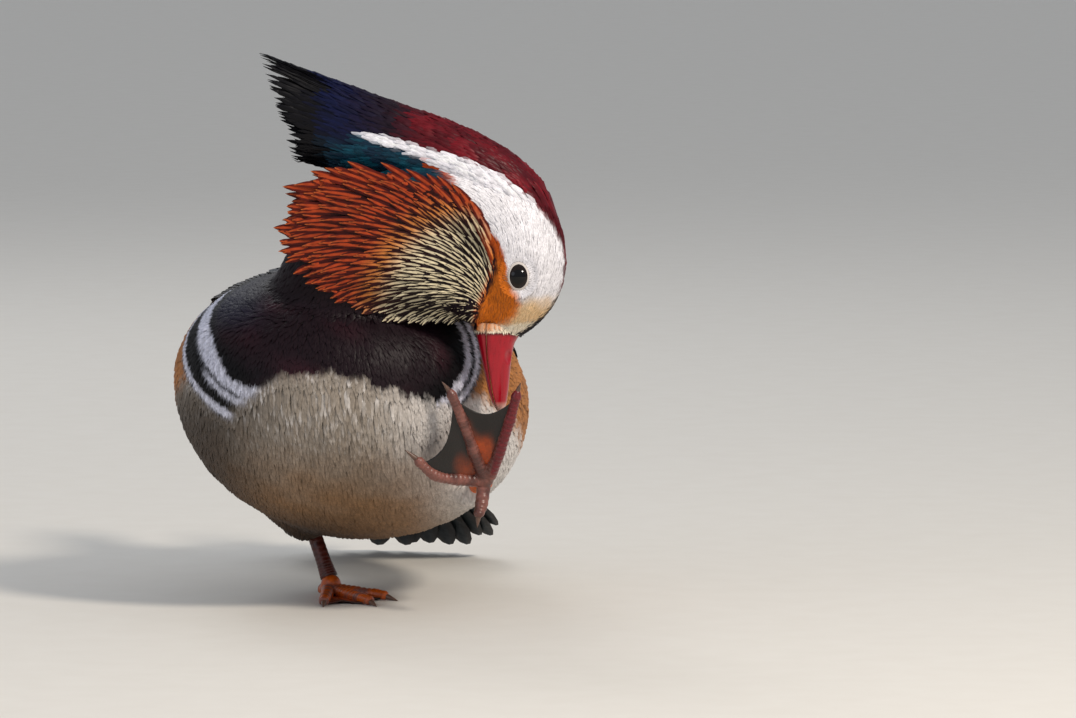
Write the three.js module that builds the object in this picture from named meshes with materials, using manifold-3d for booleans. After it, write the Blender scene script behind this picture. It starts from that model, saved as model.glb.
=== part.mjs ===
// A mandarin drake, life size. It stands on its right foot and bends its head down to its raised left foot.
// Millimetres. +X is the bird's left, -Y is the way its breast faces, +Z is up.
// The origin is on the floor, under the middle of the standing foot.
import * as THREE from "three";
import { mergeVertices } from "three/addons/utils/BufferGeometryUtils.js";
import Module from "manifold-3d";

const wasm = await Module();
wasm.setup();

// Clearance that two touching nodes keep.
const GAP = 0.3;

// Small maths helpers.
const vec = (x, y, z) => new THREE.Vector3(x, y, z);
const rad = THREE.MathUtils.degToRad;
const { lerp, clamp, smoothstep } = THREE.MathUtils;
const mix = (p, q, t) => p.clone().lerp(q, t);

// A seeded draw between 0 and 1, so that each build is the same.
function randomFrom(seed) {
  let state = seed;
  return () => {
    state = (state * 1664525 + 1013904223) % 4294967296;
    return state / 4294967296;
  };
}

// Solids from meshes, and meshes from solids.
function solidOf(geometry) {
  geometry.deleteAttribute("normal");
  geometry.deleteAttribute("uv");
  const merged = mergeVertices(geometry, 1e-3);
  const mesh = new wasm.Mesh({
    numProp: 3,
    vertProperties: merged.attributes.position.array,
    triVerts: new Uint32Array(merged.index.array),
  });
  return new wasm.Manifold(mesh);
}

function geometryOf(solid) {
  const mesh = solid.getMesh();
  const geometry = new THREE.BufferGeometry();
  geometry.setAttribute("position", new THREE.BufferAttribute(mesh.vertProperties, 3));
  geometry.setIndex(new THREE.BufferAttribute(mesh.triVerts, 1));
  geometry.computeVertexNormals();
  return geometry;
}

// The closed skin through rings of points, each ring with the same count. The two halves of a ring are split
// mirrored, so that both faces of a thin plate have the same edges. A round shape is closed on the middles
// of its end rings, and a plate, whose rings run out on one face and back on the other, by a strip.
function loft(rings, plate = false) {
  const count = rings[0].length;
  const points = rings.flat();
  const faces = [];
  const last = (rings.length - 1) * count;
  for (let r = 0; r + 1 < rings.length; r++) {
    for (let k = 0; k < count; k++) {
      const a = r * count + k;
      const b = r * count + ((k + 1) % count);
      if (k < count / 2) faces.push(a, b, a + count, b, b + count, a + count);
      else faces.push(a, b, b + count, a, b + count, a + count);
    }
  }
  if (plate) {
    for (let k = 0; k + 1 < count / 2; k++) {
      const [far, farther] = [count - 2 - k, count - 1 - k];
      faces.push(k, far, k + 1, k, farther, far);
      faces.push(last + k, last + k + 1, last + far, last + k, last + far, last + farther);
    }
  } else {
    const middle = (ring) => ring.reduce((sum, p) => sum.add(p), vec(0, 0, 0)).divideScalar(count);
    const start = points.push(middle(rings[0])) - 1;
    const end = points.push(middle(rings.at(-1))) - 1;
    for (let k = 0; k < count; k++) {
      const next = (k + 1) % count;
      faces.push(start, next, k, end, last + k, last + next);
    }
  }
  const skin = () => solidOf(new THREE.BufferGeometry().setFromPoints(points).setIndex(faces));
  const solid = skin();
  if (solid.volume() > 0) return solid;
  for (let i = 0; i < faces.length; i += 3) [faces[i], faces[i + 1]] = [faces[i + 1], faces[i]];
  return skin();
}

const join = (solids) => wasm.Manifold.union(solids);
const cutBy = (solid, ...tools) => tools.reduce((rest, tool) => rest.subtract(tool), solid);

// Its largest closed surface, so that loose scraps and sealed hollows are dropped. The mesh is read anew
// in between, since shells that touch at a point are held as one until then.
const biggest = (solid) => solid.decompose().sort((p, q) => q.volume() - p.volume())[0];
const largest = (solid) => biggest(solidOf(geometryOf(biggest(solid))));

const ball = (centre, radius, sides = 20) => {
  const geometry = new THREE.SphereGeometry(radius, sides, Math.ceil(sides * 0.6));
  geometry.translate(centre.x, centre.y, centre.z);
  return solidOf(geometry);
};

// A flat, tapered lock or vane. place(s) gives its middle line, across(s) half its width as a direction and
// length, and lie(s) half its thickness, for s from root to tip.
function vane({ place, across, lie, steps }) {
  const rings = [];
  for (let i = 0; i <= steps; i++) {
    const s = i / steps;
    const [p, side, rise] = [place(s), across(s), lie(s)];
    rings.push([
      p.clone().sub(side).sub(rise),
      p.clone().add(side).sub(rise),
      p.clone().add(side).add(rise),
      p.clone().sub(side).add(rise),
    ]);
  }
  return loft(rings, true);
}

// Widths along a vane, as shares of the full one: a blunt feather and a pointed lock.
const blunt = (s) => (s < 1 ? 0.8 + 0.2 * Math.min(1, s * 3) : 0.5);
const pointed = (s) => (s < 1 ? 1 - 0.35 * s * s : 0.3);

// One feather of a shingled row on a surface. at(u, v, out) is the surface, with u along the feathers, v
// across them and out the height over it. The feather runs from u = from to u = to at v = rows[0] near its
// root and rows[1] at its tip, and its neighbours lie apart[0] and apart[1] away in v. Each feather is
// tilted so that the neighbour with the higher v lies over it, with air between them.
const AIR = 0.4;
function shingle({ at, from, to, rows, apart, low, high, thick = 0.8, cover = 1.45, shape = blunt, steps = 3 }) {
  const frame = (s) => {
    const [u, v, dv] = [lerp(from, to, s), lerp(rows[0], rows[1], s), lerp(apart[0], apart[1], s)];
    const out = lerp(low, high, s);
    const place = at(u, v, out);
    const gap = at(u, v + dv / 2, out).sub(at(u, v - dv / 2, out));
    const outward = at(u, v, out + 1).sub(place).normalize();
    const sideways = gap.clone().normalize();
    outward.addScaledVector(sideways, -outward.dot(sideways)).normalize();
    const tilt = Math.asin(Math.min(0.7, (thick + AIR) / gap.length()));
    const side = sideways.clone().multiplyScalar(Math.cos(tilt)).addScaledVector(outward, -Math.sin(tilt));
    const rise = outward.clone().multiplyScalar(Math.cos(tilt)).addScaledVector(sideways, Math.sin(tilt));
    return { place, side: side.multiplyScalar((gap.length() * cover * shape(s)) / 2), rise };
  };
  return vane({
    place: (s) => frame(s).place,
    across: (s) => frame(s).side,
    lie: (s) => frame(s).rise.multiplyScalar((thick * (s === 1 ? 0.6 : 1)) / 2),
    steps,
  });
}

// Torso: an egg on a pitched axis, rounder in front, drawn out behind.
const BODY = {
  centre: vec(2.5, 0, 83),
  pitch: rad(22),
  yaw: rad(6),
  roll: rad(4),
  halfWidth: 70,
  back: 47,
  belly: 56,
  front: 82,
  rear: 128,
  sides: 28,
  stations: 16,
};
const turn = new THREE.Matrix4()
  .makeRotationZ(-BODY.yaw)
  .multiply(new THREE.Matrix4().makeRotationX(-BODY.pitch))
  .multiply(new THREE.Matrix4().makeRotationY(BODY.roll));
const LEFT = vec(1, 0, 0).transformDirection(turn);
const FORWARD = vec(0, -1, 0).transformDirection(turn);
const UP = vec(0, 0, 1).transformDirection(turn);

const bodyPoint = (along, left, up) =>
  BODY.centre.clone().addScaledVector(FORWARD, along).addScaledVector(LEFT, left).addScaledVector(UP, up);

// How far the middle line of the torso lies above its axis: down at the breast, up towards the tail.
const REAR_RISE = 17;
const BREAST_DROP = 7;
function middleRise(along) {
  const share = along < 0 ? along / -BODY.rear : along / BODY.front;
  return along < 0 ? REAR_RISE * Math.pow(share, 1.6) : -BREAST_DROP * share * share;
}

// Share of the full girth at a pole angle, 0 in front and pi behind.
const girth = (pole) => Math.pow(Math.sin(pole), pole < Math.PI / 2 ? 0.92 : 1.32);

function torsoPoint(pole, angle, grow = 0) {
  const along = (pole < Math.PI / 2 ? BODY.front : BODY.rear) * Math.cos(pole);
  const share = girth(pole);
  const high = Math.sin(angle) > 0 ? BODY.back : BODY.belly;
  const out = grow * Math.sin(pole);
  return bodyPoint(
    along + grow * Math.cos(pole),
    (BODY.halfWidth * share + out) * Math.cos(angle),
    middleRise(along) + (high * share + out) * Math.sin(angle),
  );
}

function torsoShape(grow) {
  const rings = [];
  for (let i = 0; i < BODY.stations; i++) {
    const pole = lerp(0.06, Math.PI - 0.1, i / (BODY.stations - 1));
    rings.push(
      Array.from({ length: BODY.sides }, (_, k) => torsoPoint(pole, (2 * Math.PI * k) / BODY.sides, grow)),
    );
  }
  return loft(rings);
}

// Neck and head: one tube from inside the breast, over the arched neck, down to the bill's root.
// Each station: x, y, z of the middle, half depth in the plane of the head, half width across it.
const HEAD_Y = -66;
const NECK_AND_HEAD = [
  [1, -34, 104, 36, 32],
  [2, -43, 122, 31, 28],
  [6, -53, 138, 25, 23],
  [15, -60, 152, 20.5, 20],
  [28, -64, 161, 18.5, 18],
  [42, HEAD_Y, 165, 18, 17],
  [54.5, HEAD_Y, 162, 18.2, 17],
  [63.5, HEAD_Y, 153.5, 18.8, 17.3],
  [67.8, HEAD_Y, 142.5, 18.8, 17.2],
  [67.4, HEAD_Y, 132, 18, 16.2],
  [64.8, HEAD_Y, 121.5, 14.6, 13.2],
  [61.8, HEAD_Y, 114, 10.4, 9.4],
  [60.6, HEAD_Y, 110.6, 8.6, 7.8],
];
const TUBE_SIDES = 18;
const TUBE_STATIONS = 20;
const tubeLine = new THREE.CatmullRomCurve3(NECK_AND_HEAD.map(([x, y, z]) => vec(x, y, z)), false, "centripetal");
const tubeSize = new THREE.CatmullRomCurve3(NECK_AND_HEAD.map(([, , , deep, wide]) => vec(deep, wide, 0)));

// The tube's middle, its direction, the way to the crown side and its half depth and half width.
function tubeAt(share) {
  const place = tubeLine.getPoint(share);
  const ahead = tubeLine.getTangent(share);
  const size = tubeSize.getPoint(share);
  const wide = vec(0, -1, 0).addScaledVector(ahead, ahead.y).normalize();
  return { place, ahead, wide, crown: wide.clone().cross(ahead).negate(), deep: size.x, half: size.y };
}

function tubeShape(grow) {
  const rings = [];
  for (let i = 0; i <= TUBE_STATIONS; i++) {
    const at = tubeAt(i / TUBE_STATIONS);
    const ring = [];
    for (let k = 0; k < TUBE_SIDES; k++) {
      const angle = (2 * Math.PI * k) / TUBE_SIDES;
      ring.push(
        at.place
          .clone()
          .addScaledVector(at.crown, (at.deep + grow) * Math.cos(angle))
          .addScaledVector(at.wide, (at.half + grow) * Math.sin(angle)),
      );
    }
    rings.push(ring);
  }
  rings.at(-1).forEach((p) => p.addScaledVector(tubeAt(1).ahead, grow));
  return loft(rings);
}

// Throat: the full feathering that fills the bend between the neck and the chin.
const THROAT = [
  [vec(4, -50, 132), 23],
  [vec(20, -60, 138), 20.5],
  [vec(36, HEAD_Y + 1, 137), 18.5],
  [vec(48, HEAD_Y, 130), 15],
  [vec(54, HEAD_Y, 121), 10.5],
  [vec(56, HEAD_Y, 116), 8],
];
const throat = (grow = 0) => limb(THROAT, TUBE_SIDES, grow);

// A wall across the tube, where the head is parted from the neck: the head is the side that it faces.
const HEAD_CUT = 0.42;
function headSide(solid, shift) {
  const at = tubeAt(HEAD_CUT);
  return solid.trimByPlane(at.ahead.toArray(), at.place.dot(at.ahead) + shift);
}
function neckSide(solid, shift) {
  const at = tubeAt(HEAD_CUT);
  const back = at.ahead.clone().negate();
  return solid.trimByPlane(back.toArray(), at.place.dot(back) + shift);
}

// Eyes: a ball on each side of the head, deep in a socket with a lid round it.
const EYE = { x: 67.9, z: 134.2, radius: 5.4, out: 13.6, lid: 0.9 };
const eyeCentre = (side) => vec(EYE.x, HEAD_Y - side * EYE.out, EYE.z);
const SIDES = { right: 1, left: -1 };

function lidRing(side) {
  const ring = new THREE.TorusGeometry(EYE.radius * 0.93, EYE.lid, 5, 14);
  ring.scale(0.86, 1, 1);
  ring.rotateX(Math.PI / 2);
  ring.translate(EYE.x, HEAD_Y - side * (EYE.out + EYE.radius * 0.42), EYE.z);
  return solidOf(ring);
}

// Bill: two mandibles that part at the mouth line, on an axis that hangs straight down.
// Each station: share of the length, x of the culmen, x of the lower edge, half width.
const BILL = { root: 111.5, length: 30.5, mouth: 0.24, sides: 12 };
const BILL_STATIONS = [
  [0, 68.9, 51.6, 8],
  [0.13, 66.4, 52.5, 7.3],
  [0.3, 65.2, 53.6, 6.3],
  [0.55, 64.5, 55.2, 5.5],
  [0.75, 63.9, 56.5, 5.2],
  [0.9, 63.2, 57.9, 4.4],
  [0.97, 62.3, 59.3, 2.9],
  [1, 61.3, 60.4, 1.2],
];

function mandible(upper, grow) {
  const rings = BILL_STATIONS.map(([share, culmen, keel, half]) => {
    const z = BILL.root - share * BILL.length - (share === 1 ? grow : 0) + (share === 0 ? 3 : 0);
    const mouth = lerp(keel, culmen, BILL.mouth);
    const edge = mouth + (upper ? GAP / 2 : -GAP / 2);
    const high = (upper ? culmen - edge : edge - keel) + grow;
    const ring = [];
    for (let k = 0; k <= BILL.sides; k++) {
      const angle = (Math.PI * k) / BILL.sides;
      const out = Math.pow(Math.sin(angle), 0.85) * high;
      const across = Math.cos(angle) * (half + grow) * (upper ? 1 : 0.9);
      ring.push(vec(edge + (upper ? out : -out), HEAD_Y + across, z));
    }
    return ring;
  });
  return loft(rings);
}

const NOSTRIL = { x: 64.2, z: 102.6, long: 2.3, high: 0.9, out: 5.2 };
function nostril(side) {
  const hole = new THREE.SphereGeometry(1, 14, 10);
  hole.scale(NOSTRIL.high, 1.7, NOSTRIL.long);
  hole.translate(NOSTRIL.x, HEAD_Y - side * NOSTRIL.out, NOSTRIL.z);
  return solidOf(hole);
}

// Rays on the finished flesh: the y of the surface at x, z, seen from the bird's right (1) or left (-1).
const probes = [];
const RAY_FROM = { 1: -200, [-1]: -26 };
function fleshY(x, z, side) {
  const ray = new THREE.Raycaster(vec(x, RAY_FROM[side], z), vec(0, side, 0));
  const hit = ray.intersectObjects(probes)[0];
  return hit ? hit.point.y : null;
}

// Ruff: long narrow feathers that fan back from the cheek over the neck, in tiers on each side.
// Each edge point: direction from the fan's centre in degrees, and the reach of the longest feathers.
const RUFF = { x: 59, z: 131, start: 6, under: 0.9, rings: 10, slope: 3, core: 0.5, thick: 1.1 };
const RUFF_EDGE = [
  [112, 30],
  [122, 45],
  [131, 53],
  [139, 65],
  [147, 76],
  [154, 80],
  [161, 80],
  [168, 79],
  [175, 74],
  [183, 61],
  [193, 48],
  [209, 30],
  [236, 20],
];
const RUFF_TIERS = [
  { count: 9, from: 0.3, to: 1, low: 2.2, high: 3.2, first: 119, last: 226 },
  { count: 5, from: 0.14, to: 0.66, low: 3.8, high: 6.4, first: 128, last: 214 },
];

// The surface that the ruff lies on: the flesh, and past its edge a leaf that carries on with a gentle slope.
function ruffSurface(side) {
  const seats = RUFF_EDGE.map(([degrees, reach]) => {
    const line = [];
    let y = null;
    for (let i = 0; i <= RUFF.rings; i++) {
      const out = lerp(RUFF.start, reach, i / RUFF.rings);
      const flesh = fleshY(RUFF.x + Math.cos(rad(degrees)) * out, RUFF.z + Math.sin(rad(degrees)) * out, side);
      const seat = flesh ?? y;
      y = y === null || (seat - y) * side < 0 || Math.abs(seat - y) < RUFF.slope ? seat : y + side * RUFF.slope;
      line.push(HEAD_Y - side * Math.max(2.6, side * (HEAD_Y - y)));
    }
    return line;
  });
  return (share, degrees, out) => {
    const after = clamp(RUFF_EDGE.findIndex(([d]) => d >= degrees), 1, RUFF_EDGE.length - 1);
    const [[d0, r0], [d1, r1]] = [RUFF_EDGE[after - 1], RUFF_EDGE[after]];
    const t = (degrees - d0) / (d1 - d0);
    const radius = lerp(RUFF.start, lerp(r0, r1, t), share);
    const ring = clamp(share * RUFF.rings, 0, RUFF.rings - 1e-6);
    const [i, part] = [Math.floor(ring), ring % 1];
    const y = lerp(lerp(seats[after - 1][i], seats[after - 1][i + 1], part), lerp(seats[after][i], seats[after][i + 1], part), t);
    return vec(RUFF.x + Math.cos(rad(degrees)) * radius, y - side * out, RUFF.z + Math.sin(rad(degrees)) * radius);
  };
}

function ruff(side, clear) {
  const draw = randomFrom(side === 1 ? 11 : 23);
  const at = ruffSurface(side);
  const core = loft(
    RUFF_EDGE.filter((_, i) => i % 2 === 0).map(([degrees]) => {
      const shares = Array.from({ length: 4 }, (_, i) => (i / 3) * RUFF.core);
      const outer = shares.map((u) => at(u, degrees, 4.6 - 2.8 * (u / RUFF.core) ** 2));
      return [...shares.map((u) => at(u, degrees, RUFF.under)), ...outer.toReversed()];
    }),
    true,
  );
  const locks = RUFF_TIERS.flatMap(({ count, from, to, low, high, first, last }) => {
    const step = (last - first) / (count - 1);
    return Array.from({ length: count }, (_, i) =>
      shingle({
        at,
        from,
        to: to * lerp(0.94, 1.04, draw()),
        rows: [last - step * i, last - step * i + lerp(-1, 1, draw())],
        apart: [-step, -step],
        low,
        high,
        thick: RUFF.thick,
        cover: 1.25,
        shape: pointed,
        steps: 2,
      }),
    );
  });
  return largest(cutBy(join([core, ...locks]), ...clear));
}

// Crest: a mane that rises from the crown and nape and ends in a ragged upright edge.
// Each station: x and z of its upper line, x and z of its lower line, half thickness. Locks in two tiers lie
// in rows round a core.
const CREST = [
  [85.5, 151, 72, 150, 4],
  [77.5, 167, 62, 156, 12.5],
  [67, 178, 52, 161, 15.5],
  [54, 186, 42, 166, 15.5],
  [39, 192.5, 30, 170, 13],
  [23, 198, 16, 172, 10],
  [7, 204, 3, 173, 6],
  [-11, 211, -7, 175, 2.2],
];

const CREST_ROWS = 5;
const CREST_TIERS = [
  { from: 0.12, to: 0.62, low: -0.6, high: 1.6 },
  { from: 0.42, to: 1, low: -0.6, high: 0.4 },
];
const crestLine = (pick) => new THREE.CatmullRomCurve3(CREST.map(pick));
const crestTop = crestLine(([x, z]) => vec(x, HEAD_Y, z));
const crestLow = crestLine(([, , x, z]) => vec(x, HEAD_Y, z));
const crestHalf = crestLine(([, , , , half]) => vec(half, 0, 0));

// The mane's surface: share along it, degrees from its top round its right side, and the height over it.
function crestPoint(share, degrees, out) {
  const [top, low, half] = [crestTop.getPoint(share), crestLow.getPoint(share), crestHalf.getPoint(share).x];
  const middle = mix(top, low, 0.5);
  const up = top.clone().sub(middle);
  const reach = up.length();
  return middle
    .addScaledVector(up.normalize(), (reach + out) * Math.cos(rad(degrees)))
    .add(vec(0, -(Math.max(half, 1.6) + out) * Math.sin(rad(degrees)), 0));
}

function crestBody(to, grow) {
  const rings = [];
  for (let i = 0; i <= 6; i++) {
    const share = (to * i) / 6;
    rings.push(Array.from({ length: 14 }, (_, k) => crestPoint(share, (360 * k) / 14, grow)));
  }
  return loft(rings);
}

function crest(clear) {
  const draw = randomFrom(5);
  const pieces = [crestBody(0.7, -1.2)];
  for (const { from, to, low, high } of CREST_TIERS) {
    for (const side of Object.values(SIDES)) {
      const step = -side * (164 / CREST_ROWS);
      for (let row = 0; row < CREST_ROWS; row++) {
        const degrees = side * 172 + step * (row + 0.5);
        pieces.push(
          shingle({
            at: crestPoint,
            from: from + 0.03 * draw(),
            to: to - (to < 1 ? 0.08 : 0.05) * draw(),
            rows: [degrees, degrees],
            apart: [step, step],
            low,
            high,
            thick: 1.2,
            cover: 1.4,
            shape: pointed,
          }),
        );
      }
    }
  }
  return largest(cutBy(join(pieces), ...clear));
}

// The back as the folded wings see it: the torso's girth, carried on past its rear end as a cone.
const BACK = { from: -62, slope: 0.42, slopeHigh: 0.3 };
function backPoint(along, degrees, out) {
  const angle = rad(degrees);
  const held = Math.max(along, BACK.from);
  const pole = Math.acos(held / (held > 0 ? BODY.front : BODY.rear));
  const past = held - along;
  const wide = BODY.halfWidth * girth(pole) - past * BACK.slope;
  const high = BODY.back * girth(pole) - past * BACK.slopeHigh;
  return bodyPoint(along, (wide + out) * Math.cos(angle), middleRise(along) + (high + out) * Math.sin(angle));
}
// Folded wing: a core on the side of the back, and tiers of vanes that run back from it.
// Each tier: count, where its feathers start and end along the body, the angles of its first and last feather
// above the side at the root and at the tip, the height of root and tip, and how far each ends short of the
// one before it.
const WING_CORE = { from: 34, to: -64, low: 31, high: 82, under: 0.9, out: 4.6, stations: 5, sides: 5 };
const WING_TIERS = [
  { count: 4, from: -54, to: -152, root: [44, 66], tip: [52, 68], low: 2.4, high: 3.4, short: -10, rings: 2 },
  { count: 4, from: -26, to: -98, root: [35, 60], tip: [36, 63], low: 2.4, high: 4.8, short: 0, rings: 2 },
  { count: 2, from: -12, to: -108, root: [68, 79], tip: [68, 79], low: 2.6, high: 5.4, short: 12, rings: 3 },
  { count: 4, from: 6, to: -50, root: [35, 60], tip: [34, 60], low: 2.8, high: 6.2, short: 0, rings: 2 },
  { count: 3, from: 32, to: -14, root: [38, 58], tip: [36, 58], low: 2.8, high: 5.8, short: 0, rings: 2 },
  { count: 2, from: 32, to: -60, root: [69, 81], tip: [69, 80], low: 3, high: 7.6, short: 7, rings: 2 },
];

function wing(side, clear) {
  const draw = randomFrom(side === 1 ? 31 : 47);
  const turned = (degrees) => (side === 1 ? 180 - degrees : degrees);
  const rings = [];
  for (let i = 0; i <= WING_CORE.stations; i++) {
    const share = i / WING_CORE.stations;
    const along = lerp(WING_CORE.from, WING_CORE.to, share);
    const narrow = Math.sin(Math.PI * clamp(share * 0.84 + 0.12, 0, 1)) ** 0.5;
    const mid = (WING_CORE.low + WING_CORE.high) / 2;
    const reach = ((WING_CORE.high - WING_CORE.low) / 2) * narrow;
    const span = Array.from({ length: WING_CORE.sides }, (_, k) => (2 * k) / (WING_CORE.sides - 1) - 1);
    const at = (u, out) => backPoint(along, turned(mid + reach * u), out);
    const top = span.map((u) => at(u, WING_CORE.out - 2 * u ** 4));
    rings.push([...top, ...span.toReversed().map((u) => at(u, WING_CORE.under))]);
  }
  const pieces = [loft(rings, true)];
  for (const { count, from, to, root, tip, low, high, short, rings: steps } of WING_TIERS) {
    const apart = [root, tip].map(([first, last]) => ((last - first) / (count - 1)) * (side === 1 ? -1 : 1));
    for (let i = 0; i < count; i++) {
      const share = i / (count - 1);
      pieces.push(
        shingle({
          at: backPoint,
          from,
          to: to - short * i + 3 * draw(),
          rows: [turned(lerp(...root, share)), turned(lerp(...tip, share))],
          apart,
          low,
          high,
          steps,
        }),
      );
    }
  }
  return largest(cutBy(join(pieces), ...clear));
}

// Sail: the widened tertial that stands upright over each side of the back, pointed at its rear corner.
const SAIL = { from: -22, long: 66, high: 40, angle: 66, lean: 6, thick: 1.1, steps: 8 };
function sailShape(side, grow) {
  const angle = side === 1 ? 180 - SAIL.angle : SAIL.angle;
  const foot = (s) => backPoint(SAIL.from + grow - (SAIL.long + 2 * grow) * s, angle, -1);
  const lean = LEFT.clone().multiplyScalar(-side * Math.sin(rad(SAIL.lean)));
  const rise = UP.clone().multiplyScalar(Math.cos(rad(SAIL.lean))).add(lean);
  const rings = [];
  for (let i = 0; i <= SAIL.steps; i++) {
    const s = i / SAIL.steps;
    const tall = 5 + SAIL.high * Math.pow(Math.sin((Math.PI / 2) * Math.min(1, s * 1.04)), 1.15);
    const sweep = FORWARD.clone().multiplyScalar(-14 * s - 2);
    const base = foot(s * 0.82);
    const top = base.clone().addScaledVector(rise, tall).add(sweep);
    const bulge = LEFT.clone().multiplyScalar(-side * 2.2 * Math.sin(Math.PI * s));
    const middle = mix(base, top, 0.5).add(bulge);
    const half = LEFT.clone().multiplyScalar(SAIL.thick / 2 + grow);
    top.addScaledVector(rise, grow);
    rings.push([
      base.clone().sub(half),
      middle.clone().sub(half),
      top.clone().addScaledVector(half, -0.6),
      top.clone().addScaledVector(half, 0.6),
      middle.clone().add(half),
      base.clone().add(half),
    ]);
  }
  return loft(rings, true);
}

// Tail: a fan of overlapping vanes under upper and lower coverts, on a flattened root.
const TAIL = { root: -104, rise: 12, droop: rad(12), sweep: rad(4), length: 96, spread: 25, count: 10, core: 34 };
const TAIL_COVERTS = [
  { count: 4, length: 58, face: 1, low: 3, high: 2.8, spread: 15 },
  { count: 3, length: 38, face: 1, low: 5, high: 4.6, spread: 11 },
  { count: 4, length: 66, face: -1, low: 3, high: 2.8, spread: 15 },
  { count: 3, length: 44, face: -1, low: 5, high: 4.6, spread: 11 },
];
const tailBack = FORWARD.clone()
  .multiplyScalar(-Math.cos(TAIL.droop))
  .addScaledVector(UP, -Math.sin(TAIL.droop))
  .addScaledVector(LEFT, -Math.sin(TAIL.sweep))
  .normalize();
const tailUp = LEFT.clone().cross(tailBack).normalize();
const tailLeft = tailBack.clone().cross(tailUp);
const tailRoot = bodyPoint(TAIL.root, 0, TAIL.rise);

// The fan's plane: the distance from its centre, degrees towards the bird's left and the height over it. It
// sags to both sides, and its centre lies inside the rump, so that the feathers start side by side.
const FAN_CENTRE = 34;
function fanPoint(out, degrees, high, face = 1) {
  const turnBy = rad(degrees);
  const ahead = tailBack.clone().multiplyScalar(Math.cos(turnBy)).addScaledVector(tailLeft, Math.sin(turnBy));
  return tailRoot
    .clone()
    .addScaledVector(tailBack, -FAN_CENTRE)
    .addScaledVector(ahead, out + FAN_CENTRE)
    .addScaledVector(tailUp, face * high - 3.2 * (degrees / TAIL.spread) ** 2);
}

function tail(clear) {
  const core = [-16, 0, 14, 26, TAIL.core].map((back, i) => {
    const [half, high] = [[20, 11], [19, 9], [19, 7], [18, 4.4], [16, 2.6]][i];
    const middle = tailRoot.clone().addScaledVector(tailBack, back);
    return Array.from({ length: 12 }, (_, k) => {
      const angle = (2 * Math.PI * k) / 12;
      return middle
        .clone()
        .addScaledVector(tailLeft, half * Math.cos(angle))
        .addScaledVector(tailUp, high * Math.sin(angle));
    });
  });
  const pieces = [loft(core)];
  const row = (count, spread, length, low, high, face, from, steps) => {
    const step = (2 * spread) / (count - 1);
    for (let i = 0; i < count; i++) {
      const degrees = -spread + step * i;
      pieces.push(
        shingle({
          at: (u, v, out) => fanPoint(u, v, out, face),
          from,
          to: length * (1 - 0.24 * (degrees / TAIL.spread) ** 2),
          rows: [degrees, degrees],
          apart: [step, step],
          low,
          high,
          steps,
        }),
      );
    }
  };
  row(TAIL.count, TAIL.spread, TAIL.length, 0, 0, 1, 14, 3);
  for (const { count, length, face, low, high, spread } of TAIL_COVERTS) {
    row(count, spread, length, low, high, face, 8, 2);
  }
  return largest(cutBy(join(pieces), ...clear));
}

// A round limb through stations of middle and radius. Each ring's first direction is the one before, laid
// square to the new heading, so the skin doesn't twist.
function limb(stations, sides = 14, grow = 0) {
  const line = stations.map(([p]) => p);
  const last = line.length - 1;
  let across = null;
  const rings = stations.map(([middle, radius, squash = 1], i) => {
    const ahead = line[Math.min(i + 1, last)].clone().sub(line[Math.max(i - 1, 0)]).normalize();
    const p = middle.clone().addScaledVector(ahead, i === 0 ? -grow : i === last ? grow : 0);
    across ??= Math.abs(ahead.x) > 0.7 ? vec(0, 0, 1) : vec(1, 0, 0);
    across = across.clone().addScaledVector(ahead, -across.dot(ahead)).normalize();
    const over = ahead.clone().cross(across);
    return Array.from({ length: sides }, (_, k) => {
      const angle = (2 * Math.PI * k) / sides;
      return p
        .clone()
        .addScaledVector(across, (radius + grow) * Math.cos(angle))
        .addScaledVector(over, (radius * squash + grow) * Math.sin(angle));
    });
  });
  return loft(rings);
}

// Legs. The right one carries the bird, the left one is drawn up in front of the belly. Boots are the
// feathered shanks that show below the flank, each station a place and a radius.
const LEGS = {
  right: {
    boot: [
      [vec(-24, 2, 58), 19],
      [vec(-20, 18, 38), 14],
      [vec(-16, 25.5, 27.5), 9],
      [vec(-13.4, 26.3, 22), 5],
    ],
    ankle: vec(-19.5, 33, 42),
    heel: vec(-7, 22, 7.5),
  },
  left: {
    boot: [
      [vec(36, 4, 66), 20],
      [vec(45, -10, 54), 15],
      [vec(49, -30, 47.5), 9],
      [vec(50, -38, 46.5), 5],
    ],
    ankle: vec(48, -17, 46),
    heel: vec(54.5, -54, 53),
  },
};

const boot = (leg, grow = 0) => limb(leg.boot, 14, grow);

function tarsus(leg, grow = 0) {
  return limb(
    [
      [mix(leg.ankle, leg.heel, -0.1), 3],
      [leg.ankle, 4.2],
      [mix(leg.ankle, leg.heel, 0.14), 3.4],
      [mix(leg.ankle, leg.heel, 0.8), 3],
      [leg.heel, 3.5],
    ],
    10,
    grow,
  );
}

// Feet: three webbed toes, a small hind toe, and a claw on each. Each toe is its joints' places, root first,
// then the claw's tip.
const TOE = { root: 2.9, tip: 1.7, claw: 1.15, web: 1.1, joint: 4 };
const FOOT_JOINT = vec(-7, 22, 7.5);

// A toe that lies on the floor: its heading from the bird's front towards its left, its length, and how much
// higher it starts than it ends.
function floorToe(heading, length, start = 4) {
  const ahead = vec(Math.sin(rad(heading)), -Math.cos(rad(heading)), 0);
  const at = (out, z) => FOOT_JOINT.clone().setZ(z).addScaledVector(ahead, out);
  const middle = length > 20 ? [at(lerp(start, length, 0.32), 2.2), at(lerp(start, length, 0.68), 2)] : [];
  return [at(start - 1, 2.6), ...middle, at(length - 4.5, 1.7), at(length, 0.8)];
}

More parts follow.
